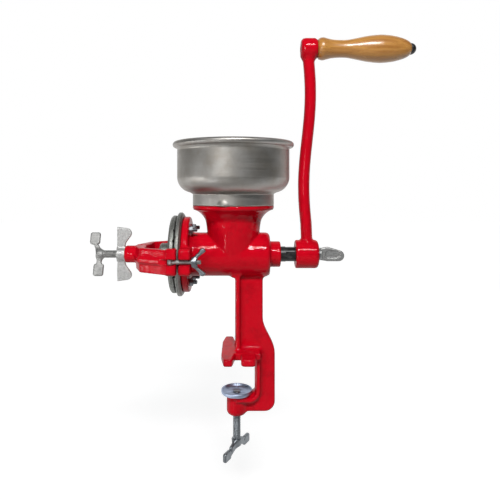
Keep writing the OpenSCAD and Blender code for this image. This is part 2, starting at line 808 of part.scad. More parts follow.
module rotating_plate() {
    hole = runner_tenon + 2 * face_gap;
    root = 4;
    dish_x = runner_x - runner_dish;
    color(IRON) difference() {
        turned([
            [0, runner_hub_x], [runner_hub_r - edge, runner_hub_x], [runner_hub_r, runner_hub_x + edge],
            [runner_hub_r, runner_back_x - root], [runner_hub_r + root, runner_back_x],
            [runner_r - 2, runner_back_x], [runner_r, runner_back_x + 2],
            [runner_r, runner_x - 1], [runner_r - 1, runner_x],
            [bore_r + 3, runner_x], [core_r + 2, dish_x], [0, dish_x]
        ]);
        translate([runner_hub_x - over, -hole / 2, axis_h - hole / 2])
            cube([runner_x - runner_hub_x + 2 * over, hole, hole]);
        translate([runner_x, 0, axis_h]) rotate([0, 90, 0]) mirror([0, 1, 0]) furrows(bore_r + 4, runner_r);
        rod(core_r + hand_fit, dish_x - over, runner_x + over);
    }
}

// Middle of the crank arm along X, at a share of its length
function arm_x(t) = crank_mid_x + 0.7 - arm_bend * sin(360 * (t - 0.07) / 0.94);

// Crank arm: an oval bar that follows the bend and narrows towards the grip
module crank_arm() {
    rings = 20;
    sides = 16;
    root_z = axis_h + crank_hub_r / 2;
    points = [for (i = [0 : rings], j = [0 : sides - 1])
        let (t = i / rings, a = 360 * j / sides, half_w = arm_w * (0.53 - 0.07 * t))
        [arm_x(t) + arm_t / 2 * cos(a), half_w * sin(a), root_z + (grip_axis_z - root_z) * t]];
    walls = [for (i = [0 : rings - 1], j = [0 : sides - 1])
        let (a = i * sides + j, b = i * sides + (j + 1) % sides)
        each [[a, a + sides, b + sides], [a, b + sides, b]]];
    caps = [[for (j = [0 : sides - 1]) j], [for (j = [sides - 1 : -1 : 0]) rings * sides + j]];
    polyhedron(points, concat(walls, caps));
}

module crank() {
    hole = crank_tenon + 2 * face_gap;
    boss_x = crank_boss_end_x - crank_boss_l;
    hub_chamfer = 3.5;
    color(RED) difference() {
        union() {
            turned([
                [0, crank_x], [crank_hub_r - 1, crank_x], [crank_hub_r, crank_x + 1],
                [crank_hub_r, crank_end_x - hub_chamfer], [crank_hub_r - 1, crank_end_x - 1.2],
                [crank_hub_r - hub_chamfer, crank_end_x], [0, crank_end_x]
            ]);
            crank_arm();
            turned([
                [0, boss_x], [crank_boss_r - 3, boss_x], [crank_boss_r - 0.8, boss_x + 2],
                [crank_boss_r, boss_x + 5], [crank_boss_r, crank_boss_end_x - 3],
                [crank_boss_r - edge, crank_boss_end_x], [0, crank_boss_end_x]
            ], grip_axis_z);
        }
        intersection() {
            rod(shaft_r + face_gap, crank_x - over, crank_end_x + over);
            translate([crank_x - over, -hole / 2, axis_h - hole / 2])
                cube([crank_hub_l + 2 * over, hole, hole]);
        }
        rod(grip_pin_r + running_fit, boss_x - over, crank_boss_end_x + over, 0, grip_axis_z);
    }
}

module crank_washer() {
    color(ZINC) difference() {
        rod(washer_r, crank_end_x + face_gap, crank_end_x + washer_t);
        rod(thumb_r + running_fit, crank_end_x - over, crank_end_x + washer_t + over);
    }
}

module crank_thumb_screw() {
    seat_x = crank_end_x + washer_t + face_gap;
    neck_l = 2;
    thread_l = 15;
    paddle_t = 5;
    tip_r = paddle_h / 2;
    root_half = 0.42 * paddle_h;
    recess_depth = 1;
    recess_r = 0.26 * paddle_h;
    recess_half_l = 0.14 * paddle_l;
    recess_x = seat_x + neck_l + 0.46 * paddle_l;
    color(CAST_ZINC) {
        rod(thumb_r, shaft_end_x - thread_l, seat_x + neck_l);
        difference() {
            union() {
                rod(thumb_r + 3, seat_x, seat_x + neck_l);
                upright(paddle_t) translate([seat_x + neck_l / 2, axis_h]) polygon(concat(
                    [[0, root_half], [0, -root_half], [paddle_l * 0.3, -tip_r]],
                    arc(paddle_l - tip_r, 0, tip_r, -90, 90, 12),
                    [[paddle_l * 0.3, tip_r]]
                ));
            }
            for (side = [-1, 1]) {
                translate([recess_x, side * paddle_t / 2 + recess_depth, axis_h]) rotate([90, 0, 0])
                    linear_extrude(2 * recess_depth) polygon(concat(
                        arc(recess_half_l, 0, recess_r, -90, 90, 8),
                        arc(-recess_half_l, 0, recess_r, 90, 270, 8)
                    ));
            }
        }
    }
}

// Outline of the turned grip: distance from its inner end, and radius there as a share of the greatest
GRIP_SHAPE = [
    [0, 0.58], [0.02, 0.76], [0.06, 0.82], [0.105, 0.75], [0.16, 0.67], [0.245, 0.63],
    [0.33, 0.652], [0.43, 0.776], [0.54, 0.92], [0.65, 0.997], [0.71, 1],
    [0.81, 0.93], [0.91, 0.765], [0.97, 0.59], [1, 0.43]
];

module grip() {
    shape = [for (p = curve(GRIP_SHAPE, 3)) [grip_r * p[1], grip_x + grip_l * p[0]]];
    color(WOOD) difference() {
        turned(concat([[0, grip_x]], shape, [[0, grip_x + grip_l]]), grip_axis_z);
        rod(grip_pin_r + running_fit, grip_x - over, grip_x + grip_l + over, 0, grip_axis_z);
    }
}

module grip_pin() {
    root_x = crank_boss_end_x - crank_boss_l + 0.5;
    seat_x = grip_x + grip_l + hand_fit;
    dome_r = grip_pin_r + 2.8;
    color(BLACK) turned(concat(
        [[0, root_x], [grip_pin_r, root_x], [grip_pin_r, seat_x]],
        arc(0, seat_x, dome_r, 0, 80, 8),
        [[0, seat_x + dome_r]]
    ), grip_axis_z);
}

// Outer or inner face of the hopper, from the neck's foot up to the rim
function hopper_side(set_out) =
    let (bowl_z = throat_top + hopper_neck_h, neck = hopper_neck_r + set_out)
    concat(
        [[neck, throat_top], [neck, bowl_z - set_out]],
        arc(bowl_r - bowl_corner_r, bowl_z + bowl_corner_r, bowl_corner_r + set_out, -85, 0, 10),
        [[bowl_r + set_out, bowl_z + bowl_h]]
    );

// Half-moon dimple at the foot of the hopper's neck, as the cap of a ball
module neck_dimple() {
    bulge = 1.6;
    ball = (dimple_w * dimple_w / 4 + bulge * bulge) / (2 * bulge);
    out_r = hopper_neck_r + sheet_t;
    difference() {
        translate([out_r + bulge - ball, 0, throat_top]) sphere(ball);
        translate([0, 0, throat_top - 2 * ball]) cylinder(r = out_r - sheet_t / 2, h = 4 * ball);
        translate([0, -ball, throat_top - 2 * ball]) cube([out_r + ball, 2 * ball, 2 * ball]);
    }
}

module hopper() {
    rim_z = throat_top + hopper_neck_h + bowl_h - rim_r;
    rim_out = bowl_r + rim_r - sheet_t / 2;
    first_dimple = 257;
    inner = hopper_side(0);
    color(TIN) translate([throat_x, 0, face_gap]) {
        rotate_extrude() polygon(concat(
            hopper_side(sheet_t),
            [for (i = [len(inner) - 1 : -1 : 0]) inner[i]]
        ));
        rotate_extrude() translate([rim_out, rim_z]) circle(rim_r);
        for (i = [0 : 2]) {
            rotate([0, 0, first_dimple + 120 * i]) neck_dimple();
        }
    }
}

module clamp_screw() {
    hub_l = 8;
    hub_r = clamp_r + 1.6;
    wing_t = 4.5;
    shoulder_z = pad_floor_z - pad_t - face_gap;
    rivet_z = pad_floor_z + face_gap;
    color(ZINC) {
        translate([0, 0, clamp_hub_z - over]) cylinder(r = clamp_r, h = shoulder_z - clamp_hub_z + over);
        translate([0, 0, shoulder_z - over]) cylinder(r = clamp_tip_r, h = rivet_z - shoulder_z + 2 * over);
        translate([0, 0, rivet_z]) cylinder(r1 = clamp_tip_r + 1.2, r2 = clamp_tip_r - 1, h = pad_t);
        translate([0, 0, clamp_hub_z - hub_l]) cylinder(r1 = hub_r - 1.2, r2 = hub_r, h = hub_l);
        translate([0, 0, clamp_hub_z - hub_l / 2]) rotate([180, 0, clamp_turn])
            wing_pair(clamp_wing_reach, clamp_wing_root, clamp_wing_tip, clamp_wing_droop, wing_t);
    }
}

module clamp_pad() {
    bore = clamp_tip_r + running_fit;
    corner = 2.4;
    lip = 1.4;
    base_z = pad_floor_z - pad_t;
    color(ZINC) rotate_extrude() polygon(concat(
        [[bore, base_z]],
        arc(pad_r - corner, base_z + corner, corner, -90, 0, 4),
        [[pad_r, pad_top_z], [pad_r - lip, pad_top_z]],
        [[pad_r - lip - corner, pad_floor_z], [bore, pad_floor_z]]
    ));
}

mill_body();
stationary_plate();
plate_screws();
plate_nuts();
bridge();
front_swing_bolt();
rear_swing_bolt();
front_wing_nut();
rear_wing_nut();
adjusting_screw();
adjuster_lock_nut();
thrust_ball();
auger_shaft();
rotating_plate();
crank();
crank_washer();
crank_thumb_screw();
grip();
grip_pin();
hopper();
clamp_screw();
clamp_pad();
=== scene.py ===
"""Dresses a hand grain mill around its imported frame.

Castings are shaped as distance fields, so that their corners run together as in a foundry mould.
Turned, threaded and spun pieces are built row by row about their axes. Lengths are millimetres in
the mill's frame, and each mesh is written in metres.
"""

import itertools
import json
import logging
import math
from dataclasses import dataclass, field
from enum import Enum
from typing import Callable, Sequence

import bmesh
import bpy
import numpy as np
from mathutils import Euler, Matrix, Vector


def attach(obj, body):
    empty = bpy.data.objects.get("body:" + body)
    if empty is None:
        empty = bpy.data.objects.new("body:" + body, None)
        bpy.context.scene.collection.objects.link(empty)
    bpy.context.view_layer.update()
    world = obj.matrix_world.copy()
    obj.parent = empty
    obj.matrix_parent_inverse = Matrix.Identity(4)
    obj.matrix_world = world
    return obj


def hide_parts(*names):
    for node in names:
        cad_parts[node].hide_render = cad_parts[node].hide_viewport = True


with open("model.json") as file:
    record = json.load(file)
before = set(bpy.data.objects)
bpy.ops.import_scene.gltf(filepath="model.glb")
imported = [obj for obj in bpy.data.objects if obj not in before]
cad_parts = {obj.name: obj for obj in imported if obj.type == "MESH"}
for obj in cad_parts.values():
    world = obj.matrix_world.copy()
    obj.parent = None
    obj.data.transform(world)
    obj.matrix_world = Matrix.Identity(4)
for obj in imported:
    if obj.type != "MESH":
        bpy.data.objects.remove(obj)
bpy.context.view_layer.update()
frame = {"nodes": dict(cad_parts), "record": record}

LOG = logging.getLogger("mill")
# Metres in a millimetre, and the distance in metres within which corners are one
MM = 0.001
WELD = 1e-7
# Play between a thread or a pin and its bore, and the radius at which spun solids meet their axis
FIT = 0.05
AXIS_GAP = 0.01
# Empty grid steps round a casting, and the distance that stands for empty space
MARGIN = 3
EMPTY = 100.0
# Corners of a grid cell
CORNERS = list(itertools.product((0, 1), repeat=3))
# Points round small, middling and large turned pieces
SMALL_ROUND, ROUND, LARGE_ROUND = 40, 64, 96

Array = np.ndarray
Point = tuple[float, float]
Outline = Sequence[Point]
Place = tuple[float, float, float]
Shade = tuple[float, float, float]
Radius = Callable[[Array, Array], Array]
Piece = bpy.types.Object
Material = bpy.types.Material
Socket = bpy.types.NodeSocket


def arc(cx: float, cy: float, r: float, start: float, end: float, steps: int = 10) -> list[Point]:
    """Lists points on an arc.

    Args:
        cx: First coordinate of the arc's middle.
        cy: Second coordinate of the arc's middle.
        r: Radius.
        start: First angle, in degrees.
        end: Last angle, in degrees.
        steps: Number of straight steps.

    Returns:
        The points in order, both ends included.
    """
    angles = np.radians(np.linspace(start, end, steps + 1))
    return [(cx + r * math.cos(a), cy + r * math.sin(a)) for a in angles]


def flipped(outline: Outline) -> list[Point]:
    """Returns an outline with its first coordinate mirrored."""
    return [(-u, v) for u, v in outline]


def on_side(outline: Outline, side: int) -> list[Point]:
    """Returns an outline on one side of the mill, -1 for its front and 1 for its back."""
    return flipped(outline) if side < 0 else list(outline)


def centred(width: float, middle: float = 0.0) -> Point:
    """Returns the first and last place of a width about a middle."""
    return middle - width / 2, middle + width / 2


def rectangle(u: Point, v: Point) -> list[Point]:
    """Outlines a rectangle from its spans in two directions."""
    return [(u[0], v[0]), (u[1], v[0]), (u[1], v[1]), (u[0], v[1])]


def chamfered(inner: float, r: float, span: Point, edge: float) -> list[Point]:
    """Outlines half of a turned ring with chamfered edges.

    Args:
        inner: Radius of the bore.
        r: Outside radius.
        span: First and last place along the axis.
        edge: Size of the chamfers.

    Returns:
        The outline, as radius and place along the axis.
    """
    low, high = span
    return [
        (inner, low), (r - edge, low), (r, low + edge),
        (r, high - edge), (r - edge, high), (inner, high),
    ]


def lug_outline(inner: float, outer: float, span: Point, r: float = 4.0) -> list[Point]:
    """Outlines a lug with two round corners.

    Args:
        inner: Where the lug starts.
        outer: Where it ends.
        span: Its lowest and highest place.
        r: Radius of its corners.

    Returns:
        The outline, as distance outwards and height.
    """
    low, high = span
    return [
        (inner, low), *arc(outer - r, low + r, r, -90, 0, 5),
        *arc(outer - r, high - r, r, 0, 90, 5), (inner, high),
    ]


def open_slot(root: float, level: float, half: float, far: float) -> list[Point]:
    """Outlines a slot from its round root to its open far end, at a level and of half a width."""
    return [*arc(root, level, half, 270, 90, 8), (far, level + half), (far, level - half)]


def smooth_curve(knots: Outline, steps: int = 6) -> list[Point]:
    """Runs a smooth curve through knots.

    Args:
        knots: Points that the curve passes through.
        steps: Steps between two knots.

    Returns:
        The points of the curve.
    """
    p = np.array([knots[0], *knots, knots[-1]], float)
    t = (np.arange(steps) / steps)[:, None]
    rows = []
    for a, b, c, d in zip(p[:-3], p[1:-2], p[2:-1], p[3:]):
        slope, bend, twist = c - a, 2 * a - 5 * b + 4 * c - d, 3 * b - a - 3 * c + d
        rows.append(0.5 * (2 * b + slope * t + bend * t**2 + twist * t**3))
    return [tuple(q) for q in np.vstack([*rows, p[-1:]])]


def outline_distance(u: Array, v: Array, outline: Outline) -> Array:
    """Measures how far points lie from a closed outline.

    Args:
        u: First coordinates of the points.
        v: Second coordinates of the points.
        outline: Corners of the outline, in order.

    Returns:
        Distances, negative inside the outline.
    """
    corners = np.array(outline, np.float64)
    square = np.full(u.shape, np.inf)
    sign = np.ones(u.shape)
    for a, b in zip(corners, np.roll(corners, -1, axis=0)):
        edge = b - a
        length = edge @ edge
        if length < 1e-12:
            continue
        wu, wv = u - a[0], v - a[1]
        t = np.clip((wu * edge[0] + wv * edge[1]) / length, 0, 1)
        square = np.minimum(square, (wu - edge[0] * t) ** 2 + (wv - edge[1] * t) ** 2)
        below, above = v >= a[1], v < b[1]
        left = edge[0] * wv > edge[1] * wu
        sign[(below & above & left) | (~below & ~above & ~left)] *= -1
    return sign * np.sqrt(square)


def blend_min(a: Array, b: Array, blend: float) -> Array:
    """Joins two distance fields.

    Args:
        a: First field.
        b: Second field.
        blend: Width over which the two run together.

    Returns:
        The joined field.
    """
    if blend <= 0:
        return np.minimum(a, b)
    h = np.maximum(blend - np.abs(a - b), 0) / blend
    return np.minimum(a, b) - h * h * blend / 4


class Axis(Enum):
    """The direction that a turned piece runs in."""

    X = 0
    Z = 2

    def across(self) -> tuple[int, int]:
        """Returns the two directions across the axis."""
        return (1, 2) if self is Axis.X else (0, 1)


class Plane(Enum):
    """The plane that a prism's outline is drawn in, with the direction of its depth last."""

    XY = (0, 1, 2)
    XZ = (0, 2, 1)
    YZ = (1, 2, 0)


def make_mesh(name: str, places: Array, faces: Array, normals: Array | None = None) -> Piece:
    """Makes a smooth-shaded object from four-cornered faces.

    Args:
        name: Name of the piece.
        places: Corners, in millimetres.
        faces: Four corner numbers for each face.
        normals: Surface directions at the corners, where they are known.

    Returns:
        The new object, linked to the scene.
    """
    mesh = bpy.data.meshes.new(name)
    count = len(faces)
    mesh.vertices.add(len(places))
    mesh.vertices.foreach_set("co", (np.asarray(places, np.float32) * MM).ravel())
    mesh.loops.add(4 * count)
    mesh.loops.foreach_set("vertex_index", np.asarray(faces, np.int32).ravel())
    mesh.polygons.add(count)
    mesh.polygons.foreach_set("loop_start", np.arange(0, 4 * count, 4, dtype=np.int32))
    mesh.update(calc_edges=True)
    mesh.validate()
    mesh.shade_smooth()
    if normals is not None:
        mesh.normals_split_custom_set_from_vertices(np.asarray(normals, np.float32))
    piece = bpy.data.objects.new(name, mesh)
    bpy.context.scene.collection.objects.link(piece)
    return piece


@dataclass
class Casting:
    """A block of space in which a casting is shaped by the distance to its surface.

    Attributes:
        low: Lowest corner of the block.
        high: Highest corner of the block.
        step: Spacing of the block's grid.
        grid: Places of the grid in each direction.
        solid: Distance to the surface at each grid point, negative inside.
    """

    low: Place
    high: Place
    step: float
    grid: list[Array] = field(init=False)
    solid: Array = field(init=False)

    def __post_init__(self) -> None:
        """Lays out the grid and leaves it empty."""
        before, after = MARGIN * self.step, (MARGIN + 0.5) * self.step
        spans = zip(self.low, self.high)
        self.grid = [np.arange(a - before, b + after, self.step) for a, b in spans]
        self.solid = np.full([len(g) for g in self.grid], EMPTY, np.float32)

    def prism(self, plane: Plane, outlines: Sequence[Outline], span: Point, edge: float) -> Array:
        """Shapes a straight bar with rounded edges.

        Args:
            plane: Plane of the outlines.
            outlines: Closed outlines that are joined.
            span: First and last place along the depth.
            edge: Radius of the rounded edges.

        Returns:
            Distances on the block's grid.
        """
        u, v, w = plane.value
        gu, gv = np.meshgrid(self.grid[u], self.grid[v], indexing="ij")
        flat = outline_distance(gu, gv, outlines[0])
        for outline in outlines[1:]:
            flat = np.minimum(flat, outline_distance(gu, gv, outline))
        side = np.abs(self.grid[w] - (span[0] + span[1]) / 2) - abs(span[1] - span[0]) / 2
        a, b = (flat + edge)[..., None].astype(np.float32), (side + edge).astype(np.float32)
        outside = np.hypot(np.maximum(a, 0), np.maximum(b, 0))
        shape = np.minimum(np.maximum(a, b), 0) + outside - edge
        return np.moveaxis(shape, (0, 1, 2), (u, v, w))

    def turned(self, axis: Axis, outline: Outline, middle: Point = (0, 0)) -> Array:
        """Shapes a turned solid.

        Args:
            axis: Direction of the turning axis.
            outline: Points as radius and place along the axis, from the axis out and back to it.
            middle: Where the axis lies, across it.

        Returns:
            Distances on the block's grid.
        """
        p, q = axis.across()
        gp, gq = np.meshgrid(self.grid[p] - middle[0], self.grid[q] - middle[1], indexing="ij")
        fine = self.step / 2
        share = np.hypot(gp, gq) / fine
        low = share.astype(np.int32)
        radii = np.arange(low.max() + 2) * fine
        gr, ga = np.meshgrid(radii, self.grid[axis.value], indexing="ij")
        table = outline_distance(gr, ga, [*outline, *flipped(outline)[::-1]]).astype(np.float32)
        part = (share - low)[..., None].astype(np.float32)
        shape = table[low] * (1 - part) + table[low + 1] * part
        return np.moveaxis(shape, (0, 1, 2), (p, q, axis.value))

    def rod(self, axis: Axis, r: float, span: Point, middle: Point = (0, 0)) -> Array:
        """Shapes a plain round bar from its radius, span and middle."""
        return self.turned(axis, rectangle((0, r), span), middle)

    def add(self, shape: Array, blend: float = 0.0) -> None:
        """Joins a shape to the casting, with a hollow corner of about that width."""
        self.solid = blend_min(self.solid, shape, blend)

    def cut(self, shape: Array, blend: float = 0.0) -> None:
        """Takes a shape out of the casting, with a rounded edge of about that width."""
        self.solid = -blend_min(-self.solid, shape, blend)

    def _crossings(self) -> tuple[Array, Array]:
        """Finds the grid cells that the surface passes through.

        Returns:
            The cells' lowest corners, and the surface's place in each of them, in grid steps.
        """
        inside = self.solid < 0
        n = np.array(self.solid.shape) - 1
        parts = [inside[i:n[0] + i, j:n[1] + j, k:n[2] + k] for i, j, k in CORNERS]
        count = sum(part.astype(np.int8) for part in parts)
        cells = np.argwhere((count > 0) & (count < 8))
        total, hits = np.zeros((len(cells), 3)), np.zeros(len(cells))
        for start in CORNERS:
            for axis in (axis for axis in range(3) if not start[axis]):
                run = np.eye(3, dtype=int)[axis]
                a = self.solid[tuple((cells + start).T)].astype(np.float64)
                b = self.solid[tuple((cells + start + run).T)].astype(np.float64)
                hit = (a < 0) != (b < 0)
                t = np.where(hit, a / np.where(hit, a - b, 1), 0)
                total += hit[:, None] * (cells + start + t[:, None] * run)
                hits += hit
        return cells, total / hits[:, None]

    def _faces(self, cells: Array) -> Array:
        """Lists the faces that join the surface's cells.

        Args:
            cells: Lowest corners of the surface's cells.

        Returns:
            Four cell numbers for each face.
        """
        inside = self.solid < 0
        number = np.full(np.array(self.solid.shape) - 1, -1, np.int32)
        number[tuple(cells.T)] = np.arange(len(cells))
        faces = []
        for axis, u, v in ((0, 1, 2), (1, 2, 0), (2, 0, 1)):
            near, far = [slice(1, -1)] * 3, [slice(1, -1)] * 3
            near[axis], far[axis] = slice(0, -1), slice(1, None)
            a, b = inside[tuple(near)], inside[tuple(far)]
            unit = np.eye(3, dtype=int)
            spot = np.argwhere(a != b) + unit[u] + unit[v]
            ring = [spot, spot - unit[u], spot - unit[u] - unit[v], spot - unit[v]]
            quad = np.stack([number[tuple(r.T)] for r in ring], axis=1)
            out = a[a != b]
            faces += [quad[out], quad[~out][:, ::-1]]
        return np.vstack(faces)

    def _sample(self, values: Array, spots: Array) -> Array:
        """Reads a field between its grid points.

        Args:
            values: The field.
            spots: Places in grid steps.

        Returns:
            The field's values there.
        """
        base = np.clip(np.floor(spots).astype(int), 0, np.array(values.shape) - 2)
        part = spots - base
        read = np.zeros(len(spots))
        for corner in CORNERS:
            share = np.prod(np.where(corner, part, 1 - part), axis=1)
            read += share * values[tuple((base + corner).T)]
        return read

    def skin(self, name: str, turn: Matrix | None = None) -> Piece:
        """Draws the casting's surface.

        Args:
            name: Name of the piece.
            turn: Where the block stands in the mill, if it was shaped about its own axis.

        Returns:
            The new object.
        """
        cells, spots = self._crossings()
        faces = self._faces(cells)
        slopes = np.gradient(self.solid)
        rounds, least_slope, most_move = 2, 0.2 * self.step**2, 0.5
        for _ in range(rounds):
            slope = np.stack([self._sample(s, spots) for s in slopes], axis=1)
            steep = np.maximum((slope**2).sum(1), least_slope)
            move = np.clip(self._sample(self.solid, spots) / steep, -most_move, most_move)
            spots = spots - move[:, None] * slope
        normals = np.stack([self._sample(s, spots) for s in slopes], axis=1)
        normals /= np.maximum(np.linalg.norm(normals, axis=1, keepdims=True), 1e-9)
        places = spots * self.step + np.array([g[0] for g in self.grid])
        if turn is not None:
            move = np.array(turn)
            places = places @ move[:3, :3].T + move[:3, 3]
            normals = normals @ move[:3, :3].T
        return make_mesh(name, places, faces, normals)


def about(axis: Axis, middle: Point, r: Array, along: Array, angle: Array) -> Array:
    """Places points about an axis.

    Args:
        axis: Direction of the axis.
        middle: Where the axis lies, across it.
        r: Distances from the axis.
        along: Places along the axis.
        angle: Angles about the axis, in radians.

    Returns:
        One row of three coordinates for each point.
    """
    p, q = axis.across()
    r, along, angle = np.broadcast_arrays(r, along, angle)
    places = np.zeros((*r.shape, 3))
    places[..., axis.value] = along
    places[..., p] = middle[0] + r * np.cos(angle)
    places[..., q] = middle[1] + r * np.sin(angle)
    return places


def ring_faces(rows: int, around: int, closed: bool) -> Array:
    """Lists the faces between rings of points.

    Args:
        rows: Number of rings.
        around: Points in each ring.
        closed: Whether the last ring meets the first.

    Returns:
        Four point numbers for each face.
    """
    i = np.arange(rows if closed else rows - 1)[:, None]
    j = np.arange(around)[None, :]
    low, high = i * around, (i + 1) % rows * around
    ahead = (j + 1) % around
    return np.stack([low + j, low + ahead, high + ahead, high + j], axis=-1).reshape(-1, 4)


def spin(name: str, axis: Axis, loop: Outline, middle: Point, around: int) -> Piece:
    """Turns a closed loop of points about an axis.

    Args:
        name: Name of the piece.
        axis: Direction of the axis.
        loop: Points as radius and place along the axis.
        middle: Where the axis lies, across it.
        around: Points round the axis.

    Returns:
        The new object.
    """
    shape = np.array(loop)
    angle = np.linspace(0, 2 * math.pi, around, endpoint=False)
    places = about(axis, middle, shape[:, :1], shape[:, 1:], angle[None, :])
    return make_mesh(name, places.reshape(-1, 3), ring_faces(len(loop), around, True))


def weld(piece: Piece) -> None:
    """Joins the corners of a piece that lie on one another.

    Args:
        piece: The piece, which is changed.
    """
    shape = bmesh.new()
    shape.from_mesh(piece.data)
    bmesh.ops.remove_doubles(shape, verts=shape.verts, dist=WELD)
    shape.to_mesh(piece.data)
    shape.free()


def sleeve(
    name: str, axis: Axis, along: Array, radius: Radius, middle: Point, around: int
) -> Piece:
    """Builds a solid bar whose radius changes along and round its axis.

    Args:
        name: Name of the piece.
        axis: Direction of the axis.
        along: Places of the rings along the axis.
        radius: Radius at a place and an angle.
        middle: Where the axis lies, across it.
        around: Points in each ring.

    Returns:
        The new object.
    """
    angle = np.linspace(0, 2 * math.pi, around, endpoint=False)[None, :]
    rows = np.asarray(along, float)[:, None]
    rings = about(axis, middle, radius(rows, angle), rows, angle)
    ends = (along[0], along[-1])
    first, last = [about(axis, middle, np.zeros(around), end, angle[0])[None] for end in ends]
    places = np.concatenate([first, rings, last])
    piece = make_mesh(name, places.reshape(-1, 3), ring_faces(len(places), around, False))
    weld(piece)
    return piece


def merge(name: str, pieces: Sequence[Piece]) -> Piece:
    """Joins several objects into one, under a new name.

    Args:
        name: The new name.
        pieces: The objects, which become the first of them.

    Returns:
        The joined object.
    """
    with bpy.context.temp_override(active_object=pieces[0], selected_editable_objects=list(pieces)):
        bpy.ops.object.join()
    pieces[0].name = name
    pieces[0].data.name = name
    return pieces[0]


@dataclass(frozen=True)
class Thread:
    """A screw thread on a round bar.

    Attributes:
        r: Outside radius.
        pitch: Rise of one turn.
        depth: Depth of the groove.
        chamfer: Size of the chamfers at the bar's ends.
        flank: Steepness of the groove's sides.
        land: Share of the groove's depth that is cut off at the crest.
        rows: Rings in one turn.
        around: Points in each ring.
    """

    r: float
    pitch: float
    depth: float
    chamfer: float = 0.8
    flank: float = 2.6
    land: float = 0.25
    rows: int = 10
    around: int = 40

    def radius(self, span: Point, threaded: Point) -> Radius:
        """Returns the radius of a bar that is threaded on part of its length.

        Args:
            span: First and last place of the bar.
            threaded: First and last place of the thread.

        Returns:
            A function of the place and the angle.
        """

        def at(s: Array, a: Array) -> Array:
            """Gives the radius at places and angles.

            Args:
                s: Places along the axis.
                a: Angles about it, in radians.

            Returns:
                The radius at each of them.
            """
            phase = (s / self.pitch - a / (2 * math.pi)) % 1.0
            groove = np.clip(self.flank * np.abs(phase - 0.5) - self.land, 0, 1)
            fade = np.clip(np.minimum(s - threaded[0], threaded[1] - s) / self.pitch, 0, 1)
            end = np.minimum(np.minimum(s - span[0], span[1] - s), self.chamfer)
            return self.r - self.depth * groove * fade + end - self.chamfer

        return at

    def bar(self, name: str, axis: Axis, span: Point, threaded: Point, middle: Point) -> Piece:
        """Builds the bar.

        Args:
            name: Name of the piece.
            axis: Direction of the bar.
            span: First and last place of the bar.
            threaded: First and last place of the thread.
            middle: Where the axis lies, across it.

        Returns:
            The new object.
        """
        bevel = np.array([0, self.chamfer / 2, self.chamfer])
        wound = np.arange(threaded[0], threaded[1], self.pitch / self.rows)
        along = np.unique(np.round(np.concatenate([span[0] + bevel, span[1] - bevel, wound]), 4))
        return sleeve(name, axis, along, self.radius(span, threaded), middle, self.around)


